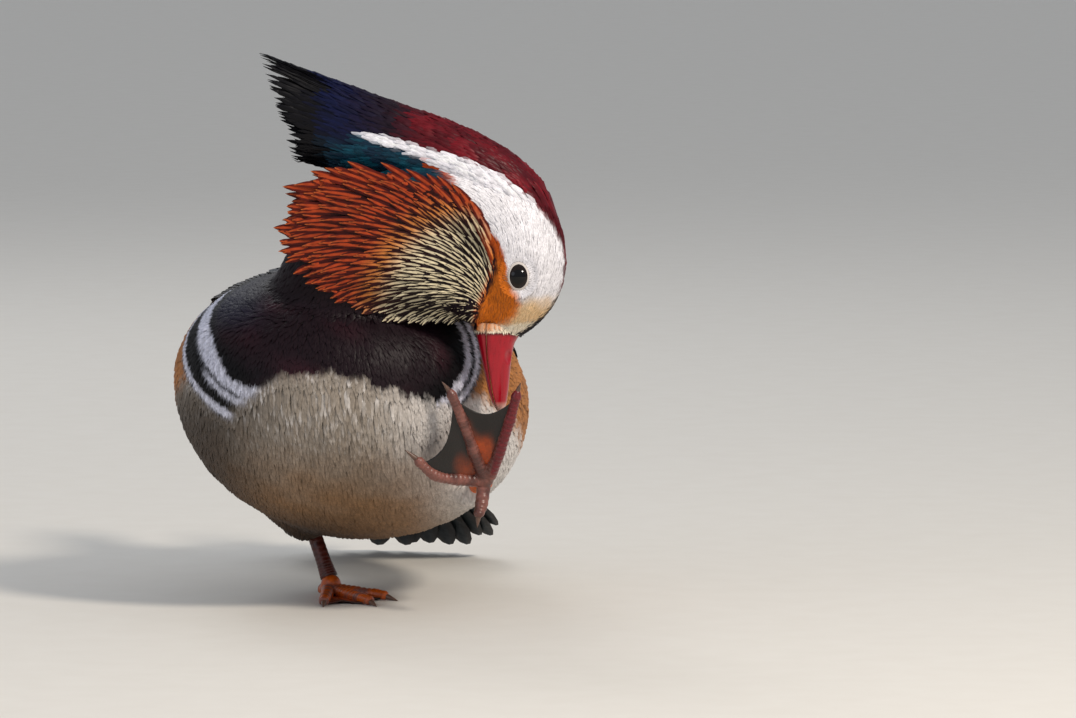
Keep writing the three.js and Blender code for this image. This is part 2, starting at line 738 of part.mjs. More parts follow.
const FEET = {
  right: {
    sole: vec(0, 0, 1),
    toes: {
      inner: floorToe(57, 31),
      middle: floorToe(28, 40),
      outer: floorToe(-2, 37),
      hind: floorToe(196, 13, 1),
    },
  },
  left: {
    sole: vec(0.1, -0.96, 0.25),
    toes: {
      inner: [vec(53, -56.5, 54), vec(44, -63, 55), vec(36, -68, 57), vec(30, -71, 62.5), vec(26.5, -72, 66)],
      middle: [vec(54.5, -58, 56), vec(50.5, -66, 66.5), vec(46.5, -73, 79), vec(42.5, -77, 88.5), vec(40.2, -78, 92.5)],
      outer: [vec(56.5, -57.5, 55.5), vec(60.5, -66, 66), vec(64.5, -73, 78.5), vec(67, -77, 88), vec(68, -78, 92)],
      hind: [vec(54.6, -55.6, 52), vec(53.6, -57.5, 44.5), vec(52.6, -59, 41), vec(52, -59.8, 37.6)],
    },
  },
};

function toe(points, grow = 0) {
  const joints = points.slice(0, -1);
  const stations = [];
  joints.forEach((p, i) => {
    const share = i / (joints.length - 1);
    const radius = lerp(TOE.root, TOE.tip, share);
    if (i > 0) stations.push([mix(joints[i - 1], p, 0.5), radius * 0.86]);
    stations.push([p, radius]);
  });
  const end = joints.at(-1).clone().add(points.at(-1).clone().sub(joints.at(-1)).setLength(1.2));
  stations.push([end, TOE.tip * 0.7]);
  return limb(stations, 6, grow);
}

function claw(points) {
  const from = points.at(-2);
  const to = points.at(-1);
  const out = to.clone().sub(from);
  return limb(
    [
      [from.clone().addScaledVector(out, 0.05), TOE.claw],
      [from.clone().addScaledVector(out, 0.7), 1],
      [to.clone().addScaledVector(out, 0.3), 0.3],
    ],
    6,
  );
}

// The web between two toes: a thin skin with a hollow front edge, split alike on both faces.
function web(one, other, sole) {
  const steps = 5;
  const line = (points) => new THREE.CatmullRomCurve3(points.slice(0, -1));
  const [a, b] = [line(one), line(other)];
  const half = sole.clone().setLength(TOE.web / 2);
  const rings = [];
  for (let i = 0; i <= steps; i++) {
    const share = i / steps;
    const hollow = 1 - 0.24 * Math.sin(Math.PI * share) ** 0.8;
    const reach = 0.96 * hollow;
    const edge = mix(a.getPoint(reach), b.getPoint(reach), share);
    const middle = mix(a.getPoint(reach * 0.55), b.getPoint(reach * 0.55), share);
    const root = mix(a.getPoint(0.04), b.getPoint(0.04), share);
    rings.push([
      root.clone().sub(half),
      middle.clone().sub(half),
      edge.clone().sub(half),
      edge.clone().add(half),
      middle.clone().add(half),
      root.clone().add(half),
    ]);
  }
  return loft(rings, true);
}

const FLOOR = (solid) => solid.trimByPlane([0, 0, 1], 0);

// The toes and the joint that they grow from.
function toes(name, grow = 0) {
  const { toes: rows } = FEET[name];
  const joint = ball(mix(rows.middle[0], LEGS[name].heel, 0.45), TOE.joint + grow, 14);
  return join([joint, ...Object.values(rows).map((points) => toe(points, grow))]);
}

function foot(name, clear) {
  const { toes: rows, sole } = FEET[name];
  const flat = name === "right" ? (points) => points.map((p) => vec(p.x, p.y, TOE.web * 0.4)) : (points) => points;
  const webs = [web(flat(rows.inner), flat(rows.middle), sole), web(flat(rows.middle), flat(rows.outer), sole)];
  const joined = join([toes(name), ...webs]);
  return largest(cutBy(name === "right" ? FLOOR(joined) : joined, ...clear));
}

// Put the flesh together, each piece cut clear of the one that it grows from.
const torso = torsoShape(0);
const torsoRoom = torsoShape(GAP);
const tube = tubeShape(0);
const headRoom = headSide(tubeShape(GAP), -GAP / 2);
const fleshRoom = join([tubeShape(GAP), throat(GAP)]);
for (const solid of [tube, throat(), torso]) probes.push(new THREE.Mesh(geometryOf(solid)));

const billRoom = join([mandible(true, GAP), mandible(false, GAP)]);
const lids = Object.values(SIDES).map(lidRing);
const sockets = Object.values(SIDES).map((side) => ball(eyeCentre(side), EYE.radius + GAP, 14));
const head = largest(cutBy(headSide(join([tube, ...lids]), GAP / 2), billRoom, torsoRoom, ...sockets));
const neck = largest(cutBy(join([neckSide(tube, GAP / 2), throat()]), headRoom, billRoom, torsoRoom));
const nostrils = Object.values(SIDES).map(nostril);
const billUpper = largest(cutBy(mandible(true, 0), ...nostrils));
const billLower = mandible(false, 0);

const parts = { torso, neck, head, bill_upper: billUpper, bill_lower: billLower };
for (const [name, side] of Object.entries(SIDES)) parts[`eye_${name}`] = ball(eyeCentre(side), EYE.radius, 14);
for (const [name, leg] of Object.entries(LEGS)) {
  const bootRoom = boot(leg, GAP);
  parts[`thigh_${name}`] = largest(boot(leg).subtract(torsoRoom));
  parts[`tarsus_${name}`] = largest(cutBy(tarsus(leg), torsoRoom, bootRoom, toes(name, GAP)));
  parts[`foot_${name}`] = foot(name, [torsoRoom, bootRoom]);
  for (const [label, points] of Object.entries(FEET[name].toes)) {
    const whole = claw(points);
    const cut = largest(cutBy(whole, toe(points, GAP)));
    parts[`claw_${name}_${label}`] = name === "right" ? FLOOR(cut) : cut;
  }
}
parts.tail = tail([torsoRoom]);
parts.crest = crest([fleshRoom, torsoRoom]);

// The lids stand proud of the head, so the ruff keeps clear of them too.
for (const [name, side] of Object.entries(SIDES)) {
  parts[`ruff_${name}`] = ruff(side, [fleshRoom, torsoRoom, crestBody(1, 3)]);
  parts[`wing_${name}`] = wing(side, [torsoRoom, fleshRoom, sailShape(side, 2 * GAP)]);
  parts[`sail_${name}`] = largest(sailShape(side, 0).subtract(torsoRoom));
}

// Colours and finishes.
const FINISH = {
  plumage: { color: 0x3a2a2e, roughness: 0.8 },
  white: { color: 0xf2efe8, roughness: 0.8 },
  orange: { color: 0xb4521c, roughness: 0.75 },
  dark: { color: 0x1c2430, roughness: 0.7 },
  horn: { color: 0xc01f35, roughness: 0.35 },
  eye: { color: 0x120c0a, roughness: 0.05 },
  leg: { color: 0xc4622a, roughness: 0.6 },
  claw: { color: 0x4a3a32, roughness: 0.5 },
};
const FINISH_OF = [
  [/^torso|^neck|^thigh/, "plumage"],
  [/^head/, "white"],
  [/^bill/, "horn"],
  [/^eye/, "eye"],
  [/^crest|^wing|^tail/, "dark"],
  [/^ruff|^sail/, "orange"],
  [/^tarsus|^foot/, "leg"],
  [/^claw/, "claw"],
];

const duck = new THREE.Group();
duck.name = "mandarin_duck";
for (const [name, solid] of Object.entries(parts)) {
  const finish = FINISH_OF.find(([pattern]) => pattern.test(name))[1];
  const material = new THREE.MeshStandardMaterial({ ...FINISH[finish], metalness: 0 });
  const mesh = new THREE.Mesh(geometryOf(solid), material);
  mesh.name = name;
  duck.add(mesh);
}

export default duck;
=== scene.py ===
# %% [markdown]
# # A drake mandarin duck, life size
# The imported solids give the bird's true shape. This script dresses them: one skin under all the flesh,
# tens of thousands of closed feather vanes over it, and a bill, eyes, legs and claws of their own.
# The first cells load the frame and keep its box, which is set beside the dressed model's box at the end.

# %% Load the imported frame
import math

import bpy
import bmesh
import numpy as np
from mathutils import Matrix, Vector
from mathutils.bvhtree import BVHTree


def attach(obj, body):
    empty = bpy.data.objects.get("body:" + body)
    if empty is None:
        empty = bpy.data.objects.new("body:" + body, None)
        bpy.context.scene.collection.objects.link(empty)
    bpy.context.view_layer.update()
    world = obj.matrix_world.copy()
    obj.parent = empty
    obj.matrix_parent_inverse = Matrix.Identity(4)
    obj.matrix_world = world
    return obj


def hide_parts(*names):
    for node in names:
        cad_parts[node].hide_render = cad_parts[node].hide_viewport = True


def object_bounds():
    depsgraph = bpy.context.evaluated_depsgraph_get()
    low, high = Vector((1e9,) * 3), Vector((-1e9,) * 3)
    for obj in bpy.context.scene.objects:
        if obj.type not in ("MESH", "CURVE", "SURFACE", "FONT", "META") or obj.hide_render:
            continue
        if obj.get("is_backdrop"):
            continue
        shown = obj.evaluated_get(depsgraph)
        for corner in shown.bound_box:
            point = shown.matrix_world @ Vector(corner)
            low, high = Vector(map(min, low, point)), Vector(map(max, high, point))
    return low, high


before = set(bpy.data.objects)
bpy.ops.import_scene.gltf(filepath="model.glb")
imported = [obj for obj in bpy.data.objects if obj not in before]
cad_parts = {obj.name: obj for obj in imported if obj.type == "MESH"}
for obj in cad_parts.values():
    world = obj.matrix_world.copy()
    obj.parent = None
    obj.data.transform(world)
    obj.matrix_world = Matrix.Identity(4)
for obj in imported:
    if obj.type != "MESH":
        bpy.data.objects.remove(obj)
CAD_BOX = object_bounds()
print("solids:", len(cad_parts), "nodes, box", CAD_BOX)

# %% [markdown]
# ## The camera
# The photo is a long-lens picture from just above the floor, so the camera stands 3 m away with a long lens.
# A photo pixel is 0.39 mm at the bird, which makes the frame 420 mm wide.

# %% Camera at the photo's view
MM = 0.001
PHOTO = (1076, 718)
PIXEL = 0.39
aim = np.array([75.3, 0.0, 95.57])
lift = math.radians(5)
distance = 3000.0
camera_data = bpy.data.cameras.new("photo_view")
camera_data.sensor_width = 36
camera_data.lens = 36 * distance / (PHOTO[0] * PIXEL)
camera_data.clip_end = 20
camera = bpy.data.objects.new("photo_view", camera_data)
camera.location = Vector((aim + distance * np.array([0, -math.cos(lift), math.sin(lift)])) * MM)
camera.rotation_euler = (math.pi / 2 - lift, 0, 0)
bpy.context.scene.collection.objects.link(camera)
bpy.context.scene.camera = camera
bpy.context.scene.view_settings.view_transform = "Standard"
print("lens", round(camera_data.lens, 1), "mm")

# %% [markdown]
# ## Small tools
# All shapes are worked out in millimetres with numpy, whole arrays of feathers at a time, and turned into
# metres once, when a mesh is made. Colours are written as sRGB hex values and turned to linear by one
# function. `ripple` is a smooth, seeded variation, used wherever real plumage isn't even.

# %% Vectors, blends and colours
def unit(v):
    return v / np.maximum(np.linalg.norm(v, axis=-1, keepdims=True), 1e-9)


def blend(a, b, t):
    return a * (1 - t) + b * t


def tint(a, b, t):
    """A mix of two colours, or of two lists of colours, with one share t for each place."""
    return blend(a, b, np.asarray(t, float)[..., None])


def soft(low, high, x):
    t = np.clip((np.asarray(x, float) - low) / (high - low), 0, 1)
    return t * t * (3 - 2 * t)


def colour(text):
    value = np.array([int(text[i : i + 2], 16) / 255 for i in (1, 3, 5)])
    return np.where(value <= 0.04045, value / 12.92, ((value + 0.055) / 1.055) ** 2.4)


def ripple(p, size, seed):
    draw = np.random.default_rng(seed)
    total = np.zeros(len(p))
    for _ in range(5):
        way = unit(draw.normal(size=3)) * draw.uniform(0.6, 1.5)
        total += np.sin(p @ way * (2 * math.pi / size) + draw.uniform(0, 6.28))
    return total / 3


def spline(points, t):
    """A smooth curve through rows of numbers: t runs from 0 at the first row to 1 at the last."""
    rows = np.asarray(points, float)
    place = np.clip(np.asarray(t, float), 0, 1) * (len(rows) - 1)
    i = np.minimum(place.astype(int), len(rows) - 2)
    f = (place - i)[..., None]
    padded = np.vstack([2 * rows[0] - rows[1], rows, 2 * rows[-1] - rows[-2]])
    a, b, c, d = padded[i], padded[i + 1], padded[i + 2], padded[i + 3]
    return 0.5 * (2 * b + (c - a) * f + (2 * a - 5 * b + 4 * c - d) * f**2 + (3 * b - a - 3 * c + d) * f**3)


def side_of(p, line):
    """Signed distance of points (x, z) from a line of points, above 0 on its left as it is followed."""
    line = np.asarray(line, float)
    a, b = line[:-1], line[1:]
    best = np.full(len(p), 1e9)
    sign = np.ones(len(p))
    for start, end in zip(a, b):
        run = end - start
        t = np.clip(((p - start) @ run) / (run @ run), 0, 1)
        away = p - (start + t[:, None] * run)
        gap = np.linalg.norm(away, axis=1)
        cross = run[0] * away[:, 1] - run[1] * away[:, 0]
        closer = gap < best
        best = np.where(closer, gap, best)
        sign = np.where(closer, np.where(cross >= 0, 1.0, -1.0), sign)
    return best * sign


print("the grey #808080 is", colour("#808080")[0].round(3), "in linear light")

# %% [markdown]
# ## The bird's own shape
# Markings and feathers follow the body, so the script knows the same egg-shaped torso, pitched and turned
# as in the photo, that the solids were made from. A place on it is told by its distance along the body and
# by an angle round it.

# %% The torso's frame
def turned(axis, degrees):
    c, s = math.cos(math.radians(degrees)), math.sin(math.radians(degrees))
    if axis == "x":
        return np.array([[1, 0, 0], [0, c, -s], [0, s, c]])
    if axis == "y":
        return np.array([[c, 0, s], [0, 1, 0], [-s, 0, c]])
    return np.array([[c, -s, 0], [s, c, 0], [0, 0, 1]])


BODY = {
    "centre": np.array([2.5, 0, 83.0]), "half": 70.0, "back": 47.0,
    "belly": 56.0, "front": 82.0, "rear": 128.0,
}
turn = turned("z", -6) @ turned("x", -22) @ turned("y", 4)
LEFT, FORWARD, UP = turn @ [1.0, 0, 0], turn @ [0, -1.0, 0], turn @ [0, 0, 1.0]
DOWN = np.array([0, 0, -1.0])


def middle_rise(along):
    back = np.clip(-along / BODY["rear"], 0, None)
    front = np.clip(along / BODY["front"], 0, None)
    return 17 * back**1.6 - 7 * front**2


def girth(along):
    share = np.clip(np.where(along > 0, along / BODY["front"], -along / BODY["rear"]), 0, 1)
    return np.sqrt(1 - share**2) ** np.where(along > 0, 0.92, 1.32)


def body_place(p):
    """Distance along the body and the angle from the middle of the belly: 90 at the side, 180 on the back."""
    q = p - BODY["centre"]
    along, left = q @ FORWARD, q @ LEFT
    up = q @ UP - middle_rise(along)
    high = np.where(up > 0, BODY["back"], BODY["belly"])
    round_it = np.degrees(np.arctan2(left / BODY["half"], -up / high))
    return along, round_it


def back_point(along, degrees, out):
    """The back as the folded wings see it: past the rump it carries on as a cone."""
    angle = np.radians(degrees)
    held = np.maximum(along, -62)
    past = held - along
    wide = BODY["half"] * girth(held) - past * 0.42
    high = BODY["back"] * girth(held) - past * 0.3
    left = (wide + out) * np.cos(angle)
    up = middle_rise(along) + (high + out) * np.sin(angle)
    return BODY["centre"] + along[..., None] * FORWARD + left[..., None] * LEFT + up[..., None] * UP


HEAD_Y = -66.0
# Stations from the breast over the crown to the bill: x, y, z of the middle, then the two half widths.
NECK = np.array([
    [1, -34, 104, 36, 32], [2, -43, 122, 31, 28], [6, -53, 138, 25, 23],
    [15, -60, 152, 20.5, 20], [28, -64, 161, 18.5, 18], [42, HEAD_Y, 165, 18, 17],
    [54.5, HEAD_Y, 162, 18.2, 17], [63.5, HEAD_Y, 153.5, 18.8, 17.3], [67.8, HEAD_Y, 142.5, 18.8, 17.2],
    [66, HEAD_Y, 130, 16.5, 14], [62, HEAD_Y, 116, 11, 10],
])
NECK_LINE = spline(NECK, np.linspace(0, 1, 80))


def neck_flow(p):
    """The nearest station of the neck and head, and the heading there from the bill to the breast."""
    gap = np.linalg.norm(p[:, None, :] - NECK_LINE[None, :, :3], axis=2)
    i = np.clip(gap.argmin(1), 1, len(NECK_LINE) - 2)
    way = unit(NECK_LINE[i - 1, :3] - NECK_LINE[i + 1, :3])
    return i / (len(NECK_LINE) - 1), way


print("forward", FORWARD.round(3), "up", UP.round(3))

# %% [markdown]
# ## Making meshes
# One function turns arrays into a mesh object at the origin. Colours are stored on the points as two
# attributes, the colour of a feather's edge and that of its shaft side, and the UV map Vane runs across and
# along each feather. OFBake holds a small patch for each feather at its root's place on the unwrapped body.

# %% A mesh from arrays
def mesh_object(name, points, faces, sizes, smooth=True):
    """points in mm, faces as one flat list of corners, sizes the number of corners of each face."""
    mesh = bpy.data.meshes.new(name)
    mesh.vertices.add(len(points))
    mesh.vertices.foreach_set("co", (np.asarray(points) * MM).astype(np.float32).ravel())
    mesh.loops.add(len(faces))
    mesh.loops.foreach_set("vertex_index", np.asarray(faces, np.int32))
    mesh.polygons.add(len(sizes))
    starts = np.concatenate([[0], np.cumsum(sizes)[:-1]]).astype(np.int32)
    mesh.polygons.foreach_set("loop_start", starts)
    mesh.polygons.foreach_set("use_smooth", np.full(len(sizes), smooth))
    mesh.update(calc_edges=True)
    piece = bpy.data.objects.new(name, mesh)
    bpy.context.scene.collection.objects.link(piece)
    return piece


def paint(piece, **layers):
    for layer, values in layers.items():
        attribute = piece.data.color_attributes.new(layer, "FLOAT_COLOR", "POINT")
        rgba = np.ones((len(piece.data.vertices), 4), np.float32)
        rgba[:, :3] = values
        attribute.data.foreach_set("color", rgba.ravel())


def unwrap(piece, layer, per_point):
    corners = np.zeros(len(piece.data.loops), np.int32)
    piece.data.loops.foreach_get("vertex_index", corners)
    uv = piece.data.uv_layers.new(name=layer)
    uv.data.foreach_set("uv", per_point[corners].astype(np.float32).ravel())


PIECES = {}


def settle(piece, material, slot, *replaced):
    piece.data.materials.clear()
    piece.data.materials.append(material)
    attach(piece, "root")
    if replaced:
        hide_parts(*replaced)
    piece.data.calc_loop_triangles()
    PIECES[piece.name] = len(piece.data.loop_triangles)
    print(piece.name, PIECES[piece.name], "triangles")


# %% [markdown]
# ## Feathers
# A feather here is a thin closed vane: rings of points from root to tip that end in one point. A body
# feather has three points to a ring, its two edges and its shaft, so it costs only 16 triangles and tens of
# thousands of them are affordable. A quill feather has more columns, and a rounded tip.

# %% Vanes from rings
def crease(mesh, count, across):
    """Marks the two long edges of each vane sharp, so that its upper side shades as one smooth sheet."""
    ends = np.zeros(len(mesh.edges) * 2, np.int32)
    mesh.edges.foreach_get("vertices", ends)
    where = np.sort(across[ends.reshape(-1, 2) % count], axis=1)
    low, high = where.T
    border = (high == 0) | (high == 1)
    sharp = border & ((low == high) | (low == -1))
    mesh.attributes.new("sharp_edge", "BOOLEAN", "EDGE").data.foreach_set("value", sharp)


def vane_mesh(name, rings, tips, columns, edge, shaft, place):
    """rings (feathers, stations, columns, 3) in mm, tips (feathers, 3), columns: where each lies across.
    edge and shaft: colours (feathers, stations + 1, 3). place (feathers, 2): the roots on the unwrap."""
    n, stations, k, _ = rings.shape
    count = stations * k + 1
    points = np.concatenate([rings.reshape(n, stations * k, 3), tips[:, None]], axis=1)
    template = [list(range(k))[::-1]]
    for s in range(stations - 1):
        for c in range(k):
            d = (c + 1) % k
            template.append([s * k + c, s * k + d, (s + 1) * k + d, (s + 1) * k + c])
    last = (stations - 1) * k
    for c in range(k):
        template.append([last + c, last + (c + 1) % k, count - 1])
    flat = np.concatenate([np.array(f) for f in template])
    faces = (flat[None, :] + (np.arange(n) * count)[:, None]).ravel()
    sizes = np.tile([len(f) for f in template], n)
    piece = mesh_object(name, points.reshape(-1, 3), faces, sizes)
    for layer, hues in (("edge", edge), ("shaft", shaft)):
        on_points = np.concatenate([np.repeat(hues[:, :-1], k, axis=1), hues[:, -1:]], axis=1)
        paint(piece, **{layer: on_points.reshape(-1, 3)})
    across = np.concatenate([np.tile(columns, stations), [0.5]])
    along = np.concatenate([np.repeat(np.linspace(0, 1, stations + 1)[:-1], k), [1.0]])
    vane = np.stack([across, along], axis=1)
    crease(piece.data, count, np.append(across[:-1], -1))
    unwrap(piece, "Vane", np.tile(vane, (n, 1)))
    unwrap(piece, "OFBake", (place[:, None, :] + 0.003 * (vane[None] - 0.5)).reshape(-1, 2))
    return piece


# One triangle at the root, two bands of three quads, and three triangles at the tip.
print("a body feather has", 1 + 2 * 3 * 2 + 3, "triangles")

# %% [markdown]
# ## The skin
# The solids of torso, neck, head and thighs are joined into one closed skin: each copy swells a little so
# that they overlap, a voxel remesh fuses them, and smoothing takes their facets out. The skin then sinks by
# the depth of the coat, so that the feathers' tips, not their roots, lie where the solid's surface is.

# %% One skin from the flesh nodes
FLESH = ["torso", "neck", "head", "thigh_right", "thigh_left"]
SWELL = 0.0004


def mesh_arrays(mesh):
    points = np.zeros(len(mesh.vertices) * 3)
    mesh.vertices.foreach_get("co", points)
    normals = np.zeros(len(mesh.vertices) * 3)
    mesh.vertices.foreach_get("normal", normals)
    return points.reshape(-1, 3) / MM, normals.reshape(-1, 3)


def search_tree(mesh):
    """Finds the nearest place on a mesh, or where a ray meets it, in mm."""
    return BVHTree.FromPolygons(mesh_arrays(mesh)[0].tolist(), [list(f.vertices) for f in mesh.polygons])


def applied(piece):
    """Makes what the object's modifiers show its own mesh."""
    bpy.context.view_layer.update()
    depsgraph = bpy.context.evaluated_depsgraph_get()
    made = bpy.data.meshes.new_from_object(piece.evaluated_get(depsgraph))
    piece.modifiers.clear()
    piece.data = made
    return made


def fused(name, work, voxel, factor, turns):
    """One closed skin from overlapping closed parts: a voxel remesh joins them, and smoothing relaxes it."""
    mesh = bpy.data.meshes.new(name)
    work.to_mesh(mesh)
    work.free()
    piece = bpy.data.objects.new(name, mesh)
    bpy.context.scene.collection.objects.link(piece)
    fuse = piece.modifiers.new("fuse", "REMESH")
    fuse.mode = "VOXEL"
    fuse.voxel_size = voxel
    relax = piece.modifiers.new("relax", "SMOOTH")
    relax.factor = factor
    relax.iterations = turns
    made = applied(piece)
    made.polygons.foreach_set("use_smooth", np.ones(len(made.polygons), bool))
    return piece


joined = bmesh.new()
for node in FLESH:
    copy = bmesh.new()
    copy.from_mesh(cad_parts[node].data)
    bmesh.ops.remove_doubles(copy, verts=copy.verts, dist=0.00002)
    copy.normal_update()
    for vertex in copy.verts:
        vertex.co += vertex.normal * SWELL
    passing = bpy.data.meshes.new("passing")
    copy.to_mesh(passing)
    copy.free()
    joined.from_mesh(passing)
    bpy.data.meshes.remove(passing)
skin = fused("skin", joined, 0.0014, 0.5, 22)
plain = skin.data
points, normals = mesh_arrays(plain)
share, _ = neck_flow(points)
along, round_it = body_place(points)
near_head = soft(150, 172, points[:, 2] + 0.9 * np.clip(points[:, 0] - 30, 0, 60))
depth = blend(blend(1.9, 1.2, soft(45, 90, along)), 0.75, near_head)
points = points - normals * depth[:, None]
plain.vertices.foreach_set("co", (points * MM).ravel())
plain.update()
SKIN_POINTS, SKIN_NORMALS = mesh_arrays(plain)
SKIN = search_tree(plain)
print("skin:", len(SKIN_POINTS), "points")


def on_skin(p):
    """The nearest place on the skin to each point, and the way out of it there."""
    found = np.empty((len(p), 6))
    for i, q in enumerate(p.tolist()):
        place, way, _, _ = SKIN.find_nearest(q)
        found[i] = (*place, *way)
    return found[:, :3], found[:, 3:]


TORSO = search_tree(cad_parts["torso"].data)
HEAD_NECK = [search_tree(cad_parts[name].data) for name in ("neck", "head")]


def belongs(p):
    """1 on the head and neck, 0 on the torso and legs, for each skin point."""
    answer = np.zeros(len(p))
    for i, q in enumerate(p.tolist()):
        torso = TORSO.find_nearest(q)[3]
        answer[i] = min(tree.find_nearest(q)[3] for tree in HEAD_NECK) < torso
    return answer


# %% [markdown]
# ## Markings
# A mandarin drake's pattern is drawn here as functions of a place on the bird, never as an image. On the
# head they are read from the side, as distances from a few named lines in x and z. On the body they go by
# the distance along it and the angle round it. Skin and feathers ask the same functions.

# %% Lines and colours of the head
BAND_TOP = [
    (9, 187.2), (21.5, 186.4), (30, 184), (40.6, 179.8), (52.7, 176.4), (63.6, 171), (73.3, 162.6),
    (80.4, 153.6), (84.2, 146.3), (85.4, 140), (85.1, 133), (82.8, 125.4), (77.8, 118.2), (69.5, 112.2),
]
BAND_LOW = [
    (9, 187.2), (19.9, 183.4), (28.1, 180.2), (36.3, 177.3), (41.3, 173.9), (44.9, 168.8), (49.5, 161.4),
    (56.2, 152.5), (61.2, 145.8), (63.2, 140), (64.7, 133), (67.1, 127.5), (68.4, 123.4), (67.5, 119.7),
    (64.4, 116.2), (60.5, 114.4), (53.4, 113.8),
]
CHEEK_BACK = [
    (36, 176), (44, 167.5), (52, 155), (58, 145.5), (60.2, 137), (56.2, 128), (53.2, 121),
    (51.5, 112),
]
HUES = {
    "maroon": colour("#4b0b14"),
    "maroon_lit": colour("#6a111b"),
    "purple": colour("#1b0f1a"),
    "indigo": colour("#0a1031"),
    "teal": colour("#0f4656"),
    "teal_dark": colour("#10283a"),
    "black": colour("#09080c"),
    "white": colour("#e9e7ec"),
    "buff": colour("#e6c598"),
    "cream": colour("#efe3cd"),
    "cheek": colour("#d2701e"),
    "cheek_deep": colour("#a23c12"),
    "rust": colour("#2e0d0b"),
    "breast": colour("#180c12"),
}


def head_hue(p, seed=1):
    """Colour of head, crest and neck at points in mm, with feather-sized unevenness along the borders."""
    ragged = 0.5 * ripple(p, 5, seed) + 0.35 * ripple(p, 2.2, seed + 1)
    flat = p[:, [0, 2]]
    x, z = p[:, 0], p[:, 2]
    top = side_of(flat, BAND_TOP) + ragged * 0.8
    low = side_of(flat, BAND_LOW) + ragged * 0.9
    cheek = side_of(flat, CHEEK_BACK) + ragged
    crown = tint(HUES["maroon"], HUES["maroon_lit"], soft(-0.6, 0.9, ripple(p, 9, 5)))
    crown = tint(HUES["purple"], crown, soft(24, 40, x + 4 * ripple(p, 14, 6)))
    crown = tint(HUES["indigo"], crown, soft(2, 26, x))
    crown = tint(HUES["black"], crown, soft(-9, 1, x + 3 * ripple(p, 8, 7)))
    crown = tint(crown, HUES["purple"] * 0.7, soft(132, 124, z))
    face = tint(HUES["white"], HUES["buff"], soft(128, 120, z + 1.5 * ripple(p, 8, 8)))
    face = tint(face, HUES["cream"], soft(115.6, 114, z - 0.10 * (x - 62)))
    teal = tint(HUES["teal_dark"], HUES["teal"], soft(-0.5, 0.7, ripple(p, 10, 9)))
    teal = tint(HUES["black"], teal, soft(-8, 2, x))
    neck = tint(HUES["rust"], HUES["purple"], soft(150, 128, z))
    orange = tint(HUES["cheek"], HUES["cheek_deep"], soft(132, 150, z + 2 * ripple(p, 6, 10)))
    hue = tint(neck, teal, soft(169, 173, z + 0.12 * (x - 20)))
    hue = tint(hue, orange, soft(-0.7, 0.7, cheek) * soft(112, 113, z))
    reach = 0.5 + 1.5 * soft(142, 128, z)
    hue = tint(hue, face, soft(-1.0, 1.0, low / reach))
    hue = tint(hue, crown, np.where(x > 9, soft(-0.5, 0.5, top), soft(182, 188, z + 0.2 * x)))
    mane = tint(tint(crown, teal, soft(186, 180, z)), HUES["black"], soft(2, -6, x))
    mane = tint(mane, HUES["breast"], soft(166, 156, z))
    hue = tint(hue, HUES["breast"], soft(128, 116, z) * soft(-0.5, -3, cheek))
    return np.where((x <= 9)[:, None], mane, hue)


print("bill-side white and chin:", head_hue(np.array([[66, -50, 145.0], [62, -56, 114.0]])).round(2).tolist())

# %% [markdown]
# On the body the same is done by distance along it and angle round it. Two white bars with black between
# them part the breast from the flank, and the belly's grey-white is streaked, as wet down is in the photo.

# %% Lines and colours of the body
BAR_OUTER = [
    (40, 60), (53, 55.9), (66, 50.9), (78, 45.2), (90, 39.6), (101, 35.6), (115, 31),
    (128, 29), (145, 28),
]
BAR_INNER = [
    (44, 72), (54, 68.5), (64, 65.6), (75, 63.1), (90, 58.5), (98, 55), (106, 50.5),
    (122, 41.5), (133, 36.5), (145, 33.5),
]
BAR_SHORT = [(40, 68.5), (47, 66.5), (56, 63.1), (67, 59.8), (76, 56.5)]
LEFT_INNER = [
    (60, 60.5), (71, 57.7), (77, 56.6), (86, 55.1), (96, 54.2), (105, 54), (114, 53.2),
    (121, 52.8), (140, 49),
]
LEFT_OUTER = [
    (60, 56), (71, 53.4), (77, 52.4), (86, 50.6), (96, 49.4), (105, 49), (114, 48),
    (121, 47), (140, 43),
]
BELLY_TOP = [(-60, 92), (-35, 95.5), (-29, 96.8), (2, 96.4), (12, 94.6), (21.6, 92), (36.9, 86.5), (48, 83)]
TONES = {
    "breast": colour("#180c12"),
    "breast_lit": colour("#36161f"),
    "breast_blue": colour("#1c1f36"),
    "bar": colour("#dfe0f0"),
    "bar_black": colour("#09080b"),
    # The belly's own white is set grey and warmer here: partly wet, soiled down, partly painted shade.
    "belly": colour("#8d8378"),
    "belly_white": colour("#dcd7d4"),
    "belly_warm": colour("#7d5a36"),
    # Painted shade, with some wet down: the darkest belly tone, for the rear and the underside.
    "belly_shade_and_wet": colour("#30261f"),
    "flank": colour("#a46c3c"),
    "flank_dark": colour("#5b3a22"),
    "back": colour("#2f2822"),
    "back_gloss": colour("#232636"),
    "vent": colour("#e3dace"),
    "shank": colour("#3a2a22"),
}


def across(table, x):
    xs, ys = zip(*table)
    return np.interp(x, xs, ys)


